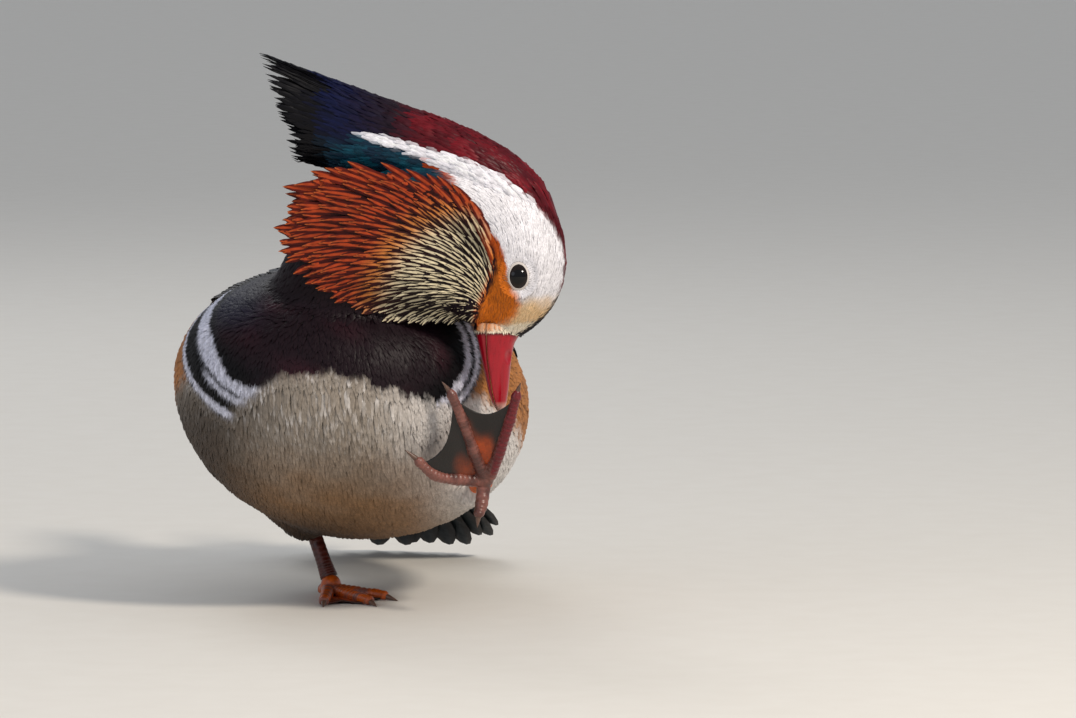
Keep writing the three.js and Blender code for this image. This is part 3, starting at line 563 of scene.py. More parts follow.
def body_hue(p, seed=21):
    along, round_it = body_place(p)
    side = np.abs(round_it)
    x, z = p[:, 0], p[:, 2]
    ragged = 0.6 * ripple(p, 6, seed) + 0.5 * ripple(p, 2.4, seed + 1)
    breast = tint(TONES["breast"], TONES["breast_lit"], soft(0.0, 1.0, ripple(p, 26, 22)) * 0.6)
    breast = tint(breast, TONES["breast_blue"], soft(-22, -46, x) * soft(108, 124, z) * 0.8)
    near_bar = np.where(round_it > 0, across(LEFT_INNER, side), across(BAR_INNER, side))
    breast = tint(breast, TONES["bar_black"], soft(9, 2, np.abs(along - near_bar) - 3) * soft(50, 62, side))
    streak = ripple(p * [1.0, 1.0, 0.16], 2.1, 23)
    belly = tint(TONES["belly"], TONES["belly_white"], soft(0.0, 1.2, streak) * soft(50, 90, z) * 0.75)
    # Painted light with the belly's own white: towards the front, on the side that faces the key light, the
    # belly is whitened.
    belly = tint(belly, TONES["belly_white"], soft(6, 44, x) * soft(20, 50, z) * 0.8)
    # Partly painted shade: the lower belly turns warm brown, partly soiled wet down and partly the shade
    # under the body.
    belly = tint(belly, TONES["belly_warm"], soft(78, 36, z + 4 * ripple(p, 16, 24)) * soft(52, 22, x) * 0.85)
    # Painted shade, with some wet down: the belly darkens towards the tail, and near the bottom except at the
    # front.
    belly = tint(belly, TONES["belly_shade_and_wet"], soft(-18, -54, x) * soft(104, 70, z) * 0.85)
    belly = tint(belly, TONES["belly_shade_and_wet"], soft(46, 24, z) * soft(30, -16, x) * 0.9)
    fine = ripple(p * [1, 1, 3.0], 2.6, 25)
    flank = tint(TONES["flank"], TONES["flank_dark"], soft(0.2, 0.9, fine) * 0.65)
    back = tint(TONES["back"], TONES["back_gloss"], soft(-0.3, 0.8, ripple(p, 18, 26)) * 0.7)
    hue = tint(belly, flank, soft(74, 82, side + 3 * ragged) * soft(-96, -80, along))
    hue = tint(hue, back, soft(122, 130, side + 2 * ragged))
    hue = tint(hue, TONES["vent"], soft(-78, -96, along + 3 * ragged) * soft(98, 84, side))
    hue = tint(hue, back * 0.9, soft(-92, -100, along) * soft(84, 98, side))
    left = round_it > 0
    outer_gap = along - np.where(left, across(LEFT_OUTER, side), across(BAR_OUTER, side))
    inner_gap = along - np.where(left, across(LEFT_INNER, side), across(BAR_INNER, side))
    outer_half = np.where(left, 0.75, 1.5)
    inner_half = np.where(left, 1.0, 1.9 + 2.3 * soft(66, 90, side) * soft(132, 108, side))
    breaks = 0.35 * ragged
    white = soft(0.8, 0.0, np.abs(outer_gap + breaks) - outer_half) * soft(146, 138, side)
    short = soft(1.6, 0.9, np.abs(along - across(BAR_SHORT, side) + breaks)) * soft(80, 70, side) * ~left
    inner = soft(0.8, 0.0, np.abs(inner_gap + breaks) - inner_half) * soft(136, 128, side)
    over_belly = z - across(BELLY_TOP, x) + 2.2 * ragged
    low_left = np.where(left, soft(-1.6, 1.2, over_belly + 1.5), 1.0)
    in_breast = soft(-0.5, 0.6, inner_gap - inner_half) * soft(40, 52, side) * low_left
    above = soft(-1.6, 1.2, over_belly) * soft(30, 44, along)
    front = soft(-3.0, -2.2, outer_gap + breaks) * soft(44, 54, side) * low_left
    hue = tint(hue, TONES["bar_black"], front)
    hue = tint(hue, breast, in_breast)
    hue = tint(hue, breast, above * (side < 64))
    bars = np.maximum(white, np.maximum(inner, short)) * soft(44, 50, side) * low_left
    streaks = 0.82 + 0.18 * ripple(p * [1.0, 1.0, 0.25], 1.6, 28)
    hue = tint(hue, TONES["bar"], bars * np.clip(streaks, 0, 1))
    return hue


probe = np.array([[0, -80.0, 110], [66, -20, 70], [-60, -30, 100]])
print("tones read at three places:", body_hue(probe).round(2).tolist())

# %% [markdown]
# ## Materials
# Every material is a small tree of nodes. One function adds any kind of node with its settings and links,
# one fills the shader's sockets, and one makes the plainest finish: noise between two close colours, since
# no real skin, horn or paper is one flat colour.

# %% Small node functions
def node(tree, kind, links=(), **settings):
    made = tree.nodes.new(kind)
    for key, value in settings.items():
        if key.startswith("in_"):
            made.inputs[int(key[3:])].default_value = value
        else:
            setattr(made, key, value)
    for source, target in links:
        tree.links.new(source, made.inputs[target])
    return made


def dress(tree, shader, sockets):
    """Links an output to the shader's socket of that name, or stores a plain value on the socket."""
    for name, value in sockets.items():
        if isinstance(value, bpy.types.NodeSocket):
            tree.links.new(value, shader.inputs[name])
        else:
            shader.inputs[name].default_value = value


def new_material(name):
    material = bpy.data.materials.new(name)
    material.use_nodes = True
    tree = material.node_tree
    tree.nodes.clear()
    out = node(tree, "ShaderNodeOutputMaterial")
    shader = node(tree, "ShaderNodeBsdfPrincipled")
    tree.links.new(shader.outputs[0], out.inputs[0])
    return material, tree, shader


def two_tone(name, scale, detail, dark, light, rough):
    """A plain skin, horn or paper: noise in Object coordinates runs between two close colours."""
    material, tree, shader = new_material(name)
    place = node(tree, "ShaderNodeTexCoord")
    noise = node(tree, "ShaderNodeTexNoise", [(place.outputs[3], 0)], in_2=scale, in_3=detail)
    tone = node(tree, "ShaderNodeMix", data_type="RGBA", links=[(noise.outputs[0], 0)],
                in_6=(*colour(dark), 1), in_7=(*colour(light), 1))
    dress(tree, shader, {"Base Color": tone.outputs[2], "Roughness": rough})
    return material


print("materials so far:", len(bpy.data.materials))

# %% [markdown]
# ## Plumage
# Keratin vanes are matt with a soft sheen along the barbs, and the dark ones carry a structural gloss. The
# material mixes each feather's edge and shaft colours across the vane, adds a few slanted bands to a vane,
# where its barbs lie together, and varies colour and roughness a little by noise in Object coordinates.

# %% The plumage materials
def plumage(name, rough, streak, barbs, sheen, gloss=0.0, tint="#ffffff"):
    material, tree, shader = new_material(name)
    edge = node(tree, "ShaderNodeAttribute", attribute_name="edge")
    shaft = node(tree, "ShaderNodeAttribute", attribute_name="shaft")
    vane = node(tree, "ShaderNodeUVMap", uv_map="Vane")
    parts = node(tree, "ShaderNodeSeparateXYZ", [(vane.outputs[0], 0)])
    middle = node(tree, "ShaderNodeMath", [(parts.outputs[0], 0)], operation="SUBTRACT", in_1=0.5)
    away = node(tree, "ShaderNodeMath", [(middle.outputs[0], 0)], operation="ABSOLUTE")
    mask = node(tree, "ShaderNodeMapRange", [(away.outputs[0], 0)], interpolation_type="SMOOTHSTEP",
                in_1=streak, in_2=streak * 0.35)
    mixed = node(tree, "ShaderNodeMix", data_type="RGBA",
                 links=[(mask.outputs[0], 0), (edge.outputs[0], 6), (shaft.outputs[0], 7)])
    slant = node(tree, "ShaderNodeMath", [(parts.outputs[1], 0)], operation="MULTIPLY", in_1=barbs)
    lean = node(tree, "ShaderNodeMath", [(away.outputs[0], 0)], operation="MULTIPLY", in_1=barbs * 0.35)
    line = node(tree, "ShaderNodeMath", [(slant.outputs[0], 0), (lean.outputs[0], 1)], operation="SUBTRACT")
    wave = node(tree, "ShaderNodeMath", [(line.outputs[0], 0)], operation="SINE")
    place = node(tree, "ShaderNodeTexCoord")
    cloud = node(tree, "ShaderNodeTexNoise", [(place.outputs[3], 0)], in_2=420.0, in_3=2.0)
    dim = node(tree, "ShaderNodeMapRange", [(cloud.outputs[0], 0)], in_1=0.3, in_2=0.7, in_3=0.86, in_4=1.1)
    lines = node(tree, "ShaderNodeMapRange", [(wave.outputs[0], 0)], in_1=-1.0, in_2=1.0, in_3=0.9, in_4=1.05)
    both = node(tree, "ShaderNodeMath", [(dim.outputs[0], 0), (lines.outputs[0], 1)], operation="MULTIPLY")
    shade = node(tree, "ShaderNodeVectorMath", operation="SCALE",
                 links=[(mixed.outputs[2], 0), (both.outputs[0], 3)])
    roughness = node(tree, "ShaderNodeMapRange", [(cloud.outputs[0], 0)], in_1=0.3, in_2=0.7,
                     in_3=rough - 0.07, in_4=rough + 0.07)
    bump = node(tree, "ShaderNodeBump", [(wave.outputs[0], "Height")], in_0=0.3, in_1=0.00004)
    dress(tree, shader, {
        "Base Color": shade.outputs[0], "Roughness": roughness.outputs[0], "Normal": bump.outputs[0],
        "Sheen Weight": sheen, "Sheen Roughness": 0.5, "Specular IOR Level": 0.08 + gloss,
        "Coat Weight": gloss, "Coat Roughness": 0.32, "Coat Tint": (*colour(tint), 1),
    })
    return material


# Down-edged contour feathers: matt keratin, so the body looks soft.
SOFT_PLUMAGE = plumage("contour_feathers", 0.66, 0.5, 24, 0.05)
# Breast and head feathers are tighter and silkier, which gives the low satin light along the breast.
SILKY_PLUMAGE = plumage("silky_head_feathers", 0.5, 0.5, 22, 0.0, 0.03)
# The back's feathers are dark and duller, with only a trace of gloss.
DARK_PLUMAGE = plumage("dull_dark_feathers", 0.6, 0.5, 24, 0.03, 0.05, "#c4ccff")
# Crest, wing and tail feathers have a structural gloss over dark keratin, here a blue-tinted clear coat.
GLOSSY_PLUMAGE = plumage("glossy_dark_feathers", 0.45, 0.34, 34, 0.0, 0.05, "#a9b8ff")
# Ruff hackles: long barbs, orange, with a clear cream shaft streak.
HACKLE_PLUMAGE = plumage("ruff_hackles", 0.5, 0.265, 30, 0.03, 0.04)
made = (SOFT_PLUMAGE, SILKY_PLUMAGE, DARK_PLUMAGE, GLOSSY_PLUMAGE, HACKLE_PLUMAGE)
print("plumage materials:", [material.name for material in made])

# %% [markdown]
# ## The skin's finish
# Between the feathers only a little skin shows, so it carries the colours of the coat, slightly darker, as
# the down and shadow under real feathers look.

# %% Skin colours
def whole_hue(p, on_neck):
    return np.where(on_neck[:, None] > 0.5, head_hue(p), body_hue(p))


SKIN_ON_NECK = belongs(SKIN_POINTS)
skin_hue = whole_hue(SKIN_POINTS + SKIN_NORMALS * 1.0, SKIN_ON_NECK) * 0.85
paint(skin, hue=skin_hue)
# The skin's colour is the coat's, darkened as down and painted shade; the crest's core and the ruff's sheet
# use this material for painted shade too.
material, tree, shader = new_material("down_and_skin")
hue = node(tree, "ShaderNodeAttribute", attribute_name="hue")
place = node(tree, "ShaderNodeTexCoord")
cloud = node(tree, "ShaderNodeTexNoise", [(place.outputs[3], 0)], in_2=900.0, in_3=3.0)
dim = node(tree, "ShaderNodeMapRange", [(cloud.outputs[0], 0)], in_1=0.3, in_2=0.7, in_3=0.7, in_4=1.1)
shade = node(tree, "ShaderNodeVectorMath", [(hue.outputs[0], 0), (dim.outputs[0], 3)], operation="SCALE")
bump = node(tree, "ShaderNodeBump", [(cloud.outputs[0], "Height")], in_0=0.5, in_1=0.0003)
dress(tree, shader, {"Base Color": shade.outputs[0], "Normal": bump.outputs[0], "Roughness": 0.85})
settle(skin, material, "body_plumage", *FLESH)


# %% [markdown]
# ## The coat
# Roots are spread over the skin in cells of a set size, one to a cell, which is about as even as real
# feather tracts. Each feather starts just under the skin, follows its curve and lifts towards its tip, so
# that it lies over the roots of those behind it. The white bars have a finer coat of their own, with less
# sway, so that their edges stay crisp.

# %% Spreading roots and laying feathers
edge_ends = np.zeros(len(plain.edges) * 2, np.int32)
plain.edges.foreach_get("vertices", edge_ends)
edge_ends = edge_ends.reshape(-1, 2)


def spread_roots(keep, cell, seed):
    """Roots as places, ways out and head-or-body marks, from the skin's points and its edges' middles."""
    draw = np.random.default_rng(seed)
    inner = edge_ends[keep[edge_ends].all(1)]
    p = np.concatenate([SKIN_POINTS[keep], SKIN_POINTS[inner].mean(1)])
    normal = unit(np.concatenate([SKIN_NORMALS[keep], SKIN_NORMALS[inner].mean(1)]))
    on_neck = np.concatenate([SKIN_ON_NECK[keep], SKIN_ON_NECK[inner[:, 0]]])
    order = draw.permutation(len(p))
    key = np.floor((p[order] + draw.uniform(0, cell, 3)) / cell).astype(np.int64)
    _, first = np.unique(key[:, 0] * 1000003 + key[:, 1] * 1009 + key[:, 2], return_index=True)
    chosen = order[first]
    return p[chosen], normal[chosen], on_neck[chosen]


def halves(roots, split):
    """The roots on each side of a plane: right where split is true, left elsewhere."""
    return [(label, [part[mask] for part in roots]) for label, mask in (("right", split), ("left", ~split))]


def body_lie(p, normal, on_neck):
    """The way the feathers lie: from the bill back over head and neck, down the breast, back to the tail."""
    front = soft(0.1, 0.95, normal @ FORWARD)
    droop = soft(-0.9, 0.3, -normal[:, 2])
    torso = -FORWARD * (1.15 - front)[:, None] + DOWN * ((0.25 + 1.1 * front) * droop)[:, None]
    _, neck = neck_flow(p)
    way = np.where(on_neck[:, None] > 0.5, neck, torso)
    way = way - (way * normal).sum(1, keepdims=True) * normal
    return unit(way)


def head_unwrap(p):
    share, _ = neck_flow(p)
    angle = np.degrees(np.arctan2(p[:, 1] - HEAD_Y, p[:, 0] - 40)) / 360 + 0.5
    return 0.01 + 0.98 * np.clip(np.stack([angle, share], 1), 0, 1)


STATIONS = np.array([0.0, 0.42, 0.78, 1.0])
ACROSS = np.array([0.0, 0.5, 1.0])


def lay_coat(name, roots, material, slot, length, width, stand, seed, sway=0.1, vary=0.1):
    """length, width and stand in mm, each one number or one for each root. sway and vary: how uneven."""
    draw = np.random.default_rng(seed)
    p, normal, on_neck = roots
    n = len(p)
    lie = body_lie(p, normal, on_neck)
    side = unit(np.cross(normal, lie))
    lie = unit(lie + side * draw.normal(0, sway, n)[:, None])
    long = length * draw.uniform(0.82, 1.2, n)
    wide = width * draw.uniform(0.85, 1.15, n)
    high = stand * draw.uniform(0.7, 1.3, n)
    rings = np.empty((n, 3, 3, 3))
    shape = [0.6, 1.0, 0.7]
    for j, s in enumerate(STATIONS):
        where = p + lie * (long * s)[:, None]
        if s > 0:
            where, out = on_skin(where)
        else:
            out = normal
        rise = -0.35 + (high + 0.35) * s**0.8
        middle = where + out * rise[:, None]
        if j == 3:
            tips = middle
            break
        b = unit(np.cross(out, lie))
        half = (wide * shape[j] / 2)[:, None]
        rings[:, j, 0] = middle - b * half
        rings[:, j, 1] = middle + out * (0.13 + 0.05 * half)
        rings[:, j, 2] = middle + b * half
    own = whole_hue(rings[:, 1, 1], on_neck)
    seen = [whole_hue(at, on_neck) for at in (rings[:, 1, 1], rings[:, 2, 1], tips)]
    seen = np.stack([own, *seen], 1)
    seen = blend(own[:, None], seen, 0.88) * draw.uniform(1 - vary, 1 + vary, n)[:, None, None]
    edge = np.clip(seen * np.array([0.6, 0.92, 1.0, 1.06])[None, :, None], 0, 1)
    along, round_it = body_place(p)
    body_uv = np.stack([round_it / 360 + 0.5, (along + 130) / 220], 1)
    body_uv = 0.01 + 0.98 * np.clip(body_uv, 0, 1)
    place = np.where(on_neck[:, None] > 0.5, head_unwrap(p), body_uv)
    piece = vane_mesh(name, rings, tips, ACROSS, edge, np.clip(edge * 1.06, 0, 1), place)
    settle(piece, material, slot)


print(len(edge_ends), "edges of the skin can carry a root beside its", len(SKIN_POINTS), "points")

# %% [markdown]
# Each tract of feathers is cut out of the skin by the markings, because on the bird, too, every tract has
# feathers of its own length and firmness: tight on the breast, long and loose on the belly.

# %% Breast, belly, flanks and back
along, round_it = body_place(SKIN_POINTS)
side = np.abs(round_it)
torso_part = SKIN_ON_NECK < 0.5
left_side = round_it > 0
outer_bar = np.where(left_side, across(LEFT_OUTER, side), across(BAR_OUTER, side))
inner_bar = np.where(left_side, across(LEFT_INNER, side), across(BAR_INNER, side))
bar_zone = torso_part & (along > outer_bar - 4) & (along < inner_bar + 5) & (side > 46) & (side < 146)
above_belly = SKIN_POINTS[:, 2] > across(BELLY_TOP, SKIN_POINTS[:, 0]) - 2
breast_zone = torso_part & ~bar_zone & (along > 36) & above_belly
rest = torso_part & ~bar_zone & ~breast_zone
belly_zone = rest & (side < 76)
flank_zone = rest & (side >= 76) & (side < 128)
back_zone = rest & (side >= 128)
lay_coat("breast_feathers", spread_roots(breast_zone, 1.3, 3), SILKY_PLUMAGE, "body_plumage",
         7.0, 1.9, 0.75, 3, vary=0.07)
lay_coat("bar_feathers", spread_roots(bar_zone, 1.1, 12), SILKY_PLUMAGE, "body_plumage",
         5.4, 1.45, 0.75, 12, sway=0.06, vary=0.05)
roots = spread_roots(belly_zone, 1.6, 4)
for label, half in halves(roots, roots[0][:, 0] < 0):
    lay_coat(f"belly_feathers_{label}", half, SOFT_PLUMAGE, "body_plumage",
             11.5, 1.7, 1.0, 4 if label == "right" else 5, sway=0.07, vary=0.14)
roots = spread_roots(flank_zone, 1.75, 6)
for label, half in halves(roots, body_place(roots[0])[1] < 0):
    lay_coat(f"flank_feathers_{label}", half, SOFT_PLUMAGE, "body_plumage",
             10.0, 2.3, 1.0, 6 if label == "right" else 7)
lay_coat("back_feathers", spread_roots(back_zone, 1.9, 8), DARK_PLUMAGE, "body_plumage",
         9.0, 2.6, 0.9, 8)

# %% [markdown]
# The face's feathers are short, about 3 mm at the bill and longer towards the crown. A ring is left free
# for the eye, and the neck has no roots in the middle of the ruff's place, because none would show.

# %% Head and neck
EYE = np.array([67.9, HEAD_Y, 134.2])
RUFF_X, RUFF_Z, RUFF_START = 59.0, 131.0, 4.0
# Heading from the ruff's root in degrees, and how far in mm the ruff's sheet reaches there.
RUFF_EDGE = np.array([
    [104, 22], [112, 34], [122, 47], [131, 55], [139, 66], [147, 76], [154, 80], [161, 80], [168, 79],
    [175, 74], [183, 62], [193, 49], [209, 31], [222, 23], [236, 18],
], float)
head_part = SKIN_ON_NECK > 0.5
behind_cheek = side_of(SKIN_POINTS[:, [0, 2]], CHEEK_BACK)
face_zone = head_part & (behind_cheek > -3)
eye_gap = np.hypot((SKIN_POINTS[:, 0] - EYE[0]) / 3.2, (SKIN_POINTS[:, 2] - EYE[2]) / 4.3)
face_zone &= (eye_gap > 1) | (np.abs(SKIN_POINTS[:, 1] - HEAD_Y) < 9)
neck_zone = head_part & (behind_cheek <= -3)
turned_by = np.degrees(np.arctan2(SKIN_POINTS[:, 2] - RUFF_Z, SKIN_POINTS[:, 0] - RUFF_X)) % 360
ruff_away = np.hypot(SKIN_POINTS[:, 0] - RUFF_X, SKIN_POINTS[:, 2] - RUFF_Z)
under_ruff = (ruff_away < across(RUFF_EDGE, turned_by) - 9) & (turned_by > 106) & (turned_by < 230)
neck_zone &= ~(under_ruff & (np.abs(SKIN_POINTS[:, 1] - HEAD_Y) > 5))
roots = spread_roots(face_zone, 0.98, 9)
for label, half in halves(roots, roots[0][:, 1] < HEAD_Y):
    x, _, z = half[0].T
    length = 2.4 + 3.2 * soft(112, 150, z) + 1.5 * soft(70, 45, x)
    width = 0.62 + 0.4 * soft(114, 150, z)
    lay_coat(f"face_feathers_{label}", half, SILKY_PLUMAGE, "face_plumage",
             length, width, 0.4, 9 if label == "right" else 10, sway=0.06, vary=0.05)
lay_coat("neck_feathers", spread_roots(neck_zone, 1.5, 11), SILKY_PLUMAGE, "body_plumage",
         7.0, 1.9, 0.8, 11)

# %% [markdown]
# ## Crest
# The mane rises from the crown and nape and ends in a ragged upright edge. It is laid lock by lock on the
# same surface as the solid crest: each lock is long and narrow, lies back along the mane, and the last ones
# run out past its edge. A dark core under the locks keeps daylight out.

# %% The mane's surface and closed tubes
# Stations from brow to tip: x and z of the upper edge, x and z of the lower edge, half width.
CREST = np.array([
    [85.5, 151, 72, 150, 4], [77.5, 167, 62, 156, 12.5], [67, 178, 52, 161, 15.5],
    [54, 186, 42, 166, 15.5], [39, 192.5, 30, 170, 13], [23, 198, 16, 172, 10],
    [7, 204, 3, 173, 6], [-11, 211, -7, 175, 2.2],
])


def crest_point(share, degrees, out):
    at = spline(CREST, share)
    past = np.clip(np.asarray(share) - 1, 0, None)[..., None]
    end = (CREST[-1] - CREST[-2]) * 7 * np.array([1, 1, 1, 1, 0])
    at = at + past * end
    n = at.shape[:-1]
    top = np.stack([at[..., 0], np.full(n, HEAD_Y), at[..., 1]], -1)
    low = np.stack([at[..., 2], np.full(n, HEAD_Y), at[..., 3]], -1)
    middle = (top + low) / 2
    up = top - middle
    reach = np.linalg.norm(up, axis=-1)
    angle = np.radians(degrees)
    rise = unit(up) * ((reach + out) * np.cos(angle))[..., None]
    over = (np.maximum(at[..., 4], 1.6) + out) * np.sin(angle)
    return middle + rise - np.stack([0 * over, over, 0 * over], -1)


def tube_mesh(name, rings, sheet=False):
    """A closed tube from rings of points (stations, around, 3), its round ends closed by fans of triangles.
    A sheet's ring runs out on its upper side and back on its lower one, so a strip of quads closes it."""
    stations, k, _ = rings.shape
    points = rings.reshape(-1, 3)
    faces = []
    for s in range(stations - 1):
        for c in range(k):
            d = (c + 1) % k
            faces.append([s * k + c, s * k + d, (s + 1) * k + d, (s + 1) * k + c])
    last = (stations - 1) * k
    if sheet:
        for c in range(k // 2 - 1):
            faces.append([c + 1, c, k - 1 - c, k - 2 - c])
            faces.append([last + c, last + c + 1, last + k - 2 - c, last + k - 1 - c])
    else:
        points = np.concatenate([points, rings[0].mean(0)[None], rings[-1].mean(0)[None]])
        for c in range(k):
            d = (c + 1) % k
            faces.append([stations * k, d, c])
            faces.append([stations * k + 1, last + c, last + d])
    piece = mesh_object(name, points, np.concatenate(faces), [len(f) for f in faces])
    outward(piece)
    return piece


def outward(piece):
    """Turns all faces outward. A thin shape can fool the search, so the volume's sign is checked as well."""
    work = bmesh.new()
    work.from_mesh(piece.data)
    bmesh.ops.recalc_face_normals(work, faces=work.faces)
    if work.calc_volume(signed=True) < 0:
        bmesh.ops.reverse_faces(work, faces=work.faces)
    work.to_mesh(piece.data)
    work.free()


mane_top = crest_point(np.array([0.5]), np.array([0.0]), np.array([0.0]))
print("the mane's top at its middle:", mane_top.round(1).tolist())

# %% [markdown]
# The core is a plain dark tube inside the mane, its darkness painted shade. The locks start in rows that
# follow each other from the brow back, closely spaced round the mane, and each runs along it for an eighth to
# a quarter of its length.

# %% Core and locks of the crest
turn_steps = np.linspace(0, 360, 49)[:-1]
core_shares = np.linspace(0.02, 0.93, 24)
core_rings = np.array([crest_point(np.full(48, s), turn_steps, np.full(48, -1.6)) for s in core_shares])
crest_core = tube_mesh("crest_core", core_rings)
core_ends = [core_rings[0].mean(0)[None], core_rings[-1].mean(0)[None]]
# Painted shade: the core takes the mane's colours at half their brightness, as the shadow between the locks.
paint(crest_core, hue=head_hue(np.concatenate([core_rings.reshape(-1, 3), *core_ends])) * 0.5)
settle(crest_core, skin.data.materials[0], "dark_plumage")

draw = np.random.default_rng(31)
starts, degrees = [], []
for s in np.arange(0.0, 0.93, 0.021):
    at = spline(CREST, np.array([s]))[0]
    round_mm = math.pi * (np.hypot(at[0] - at[2], at[1] - at[3]) / 2 + at[4])
    many = max(14, int(round_mm / 1.45))
    starts.append(np.full(many, s) + draw.uniform(-0.012, 0.012, many))
    degrees.append(np.arange(many) * 360 / many + draw.uniform(0, 360 / many, many))
starts, degrees = np.clip(np.concatenate(starts), 0, 1), np.concatenate(degrees)
n = len(starts)
reach = draw.uniform(0.13, 0.22, n) + 0.05 * soft(0.5, 0.9, starts)
rings = np.empty((n, 5, 3, 3))
for j, s in enumerate((0.0, 0.25, 0.5, 0.72, 0.88)):
    rise = -1.3 + (2.0 + draw.uniform(-0.3, 0.5, n)) * s**0.8
    rise = rise - 0.9 * soft(0.8, 1.1, starts + reach * s)
    at = np.minimum(starts + reach * s, 1.13)
    lag = draw.normal(0, 0.8, n) * s
    middle = crest_point(at, degrees + lag, rise)
    ahead = unit(crest_point(at + 0.01, degrees + lag, rise) - middle)
    out = unit(crest_point(at, degrees + lag, rise + 1) - middle)
    b = unit(np.cross(out, ahead))
    half = ((0.9, 1.35, 1.3, 1.0, 0.62)[j] * draw.uniform(0.9, 1.1, n))[:, None]
    rings[:, j] = np.stack([middle - b * half, middle + out * 0.45, middle + b * half], 1)
tip_rise = 0.3 - 0.9 * soft(0.8, 1.1, starts + reach)
tips = crest_point(np.minimum(starts + reach, 1.16), degrees, tip_rise)
base = head_hue(rings[:, 2, 1], 61) * draw.uniform(0.8, 1.15, n)[:, None]
steps = np.array([0.7, 0.85, 1, 1, 1.05, 1.1])
edge = np.clip(base[:, None] * steps[None, :, None], 0, 1)
shaft = np.clip(edge * 1.15, 0, 1)
crest = vane_mesh("crest_locks", rings, tips, ACROSS, edge, shaft, head_unwrap(rings[:, 0, 1]))
settle(crest, GLOSSY_PLUMAGE, "dark_plumage", "crest")

# %% [markdown]
# ## Ruff
# The drake's side whiskers are hackles: long pointed feathers that fan back from the cheek. Near the cheek
# they are short, dark and cream, so they look scaled. Further out they grow long and orange, each with a
# pale shaft streak, and their tips run free over the breast. They leave the cheek along spirals, so they
# sweep back and down. Spokes round one point would look like a daisy. A dark sheet under them is painted
# shade.

# %% The fan's surface
def neck_side(x, z, side):
    """The y of the flesh at x, z as seen from the bird's right (side 1) or left (-1), else not a number."""
    y = np.full(len(x), np.nan)
    start = -200.0 if side == 1 else -24.0
    for i, (a, b) in enumerate(zip(x.tolist(), z.tolist())):
        hit = SKIN.ray_cast(Vector((a, start, b)), Vector((0, side, 0)))[0]
        if hit is not None:
            y[i] = hit.y
    return y


def fan_place(x, z):
    """Heading from the fan's root, distance from it, and how far the hackles reach on that heading."""
    degrees = np.degrees(np.arctan2(z - RUFF_Z, x - RUFF_X)) % 360
    return degrees, np.hypot(x - RUFF_X, z - RUFF_Z), np.interp(degrees, HACKLE_EDGE[:, 0], HACKLE_EDGE[:, 1])


def fan_surface(side):
    """Two functions that give places on the fan of one side: point by share and heading, over by x and z.
    The fan lies on the flesh where there is some, and from the flesh's edge it runs on in the air."""
    angles = np.linspace(RUFF_EDGE[0, 0], RUFF_EDGE[-1, 0], 34)
    reach = np.interp(angles, RUFF_EDGE[:, 0], RUFF_EDGE[:, 1])
    shares = np.linspace(0, 1.15, 24)
    radius = RUFF_START + shares[None, :] * (reach[:, None] - RUFF_START)
    x = RUFF_X + np.cos(np.radians(angles))[:, None] * radius
    z = RUFF_Z + np.sin(np.radians(angles))[:, None] * radius
    flesh = neck_side(x.ravel(), z.ravel(), side).reshape(x.shape)
    seat = np.empty_like(x)
    for i in range(len(angles)):
        y = None
        for j in range(len(shares)):
            f = flesh[i, j]
            if y is None:
                y = f if not np.isnan(f) else HEAD_Y - side * 12
            elif np.isnan(f):
                y = y + side * 0.2
            elif (f - y) * side < 0 or abs(f - y) < 1.6:
                y = f
            else:
                y = y + side * 1.2
            seat[i, j] = HEAD_Y - side * max(2.4, side * (HEAD_Y - y))
    for _ in range(3):
        seat[1:-1] = (seat[:-2] + 2 * seat[1:-1] + seat[2:]) / 4
        seat[:, 1:-1] = (seat[:, :-2] + 2 * seat[:, 1:-1] + seat[:, 2:]) / 4

    def seat_at(share, degrees):
        i = np.clip((degrees - angles[0]) / (angles[1] - angles[0]), 0, len(angles) - 1.001)
        j = np.clip(share / (shares[1] - shares[0]), 0, len(shares) - 1.001)
        i0, j0 = i.astype(int), j.astype(int)
        fi, fj = i - i0, j - j0
        low = blend(seat[i0, j0], seat[i0, j0 + 1], fj)
        high = blend(seat[i0 + 1, j0], seat[i0 + 1, j0 + 1], fj)
        return blend(low, high, fi)

    def point(share, degrees, out):
        y = seat_at(share, degrees)
        far = RUFF_START + share * (np.interp(degrees, RUFF_EDGE[:, 0], RUFF_EDGE[:, 1]) - RUFF_START)
        a = np.radians(degrees)
        return np.stack([RUFF_X + np.cos(a) * far, y - side * out, RUFF_Z + np.sin(a) * far], -1)

    def over(x, z, out):
        """A point of the fan straight above x, z. In front of the fan it lies on the cheek."""
        degrees, radius, _ = fan_place(x, z)
        reach_there = np.interp(degrees, RUFF_EDGE[:, 0], RUFF_EDGE[:, 1])
        y = seat_at((radius - RUFF_START) / (reach_there - RUFF_START), degrees)
        on_cheek = np.maximum(soft(112, 105, degrees), soft(222, 234, degrees))
        cheek = neck_side(x, z, side)
        y = np.where(np.isnan(cheek), y, blend(y, cheek, on_cheek))
        return np.stack([x, y - side * out, z], -1)

    return point, over


print("the ruff reaches up to", RUFF_EDGE[:, 1].max(), "mm from its root")

# %% [markdown]
# Rows of roots follow the cheek outward, wider apart row by row. A hackle's colour is read from where each
# part of it lies: cream and near black by the cheek, orange far out, rusty along the upper border.

# %% Flow and colours of the hackles
R_CREAM, R_GOLD, R_ORANGE, R_PINK = colour("#d8caa8"), colour("#c07a3c"), colour("#a63f1c"), colour("#d0a090")
R_RUST, R_DARK, R_MAROON = colour("#6a1b0e"), colour("#120507"), colour("#2a080b")

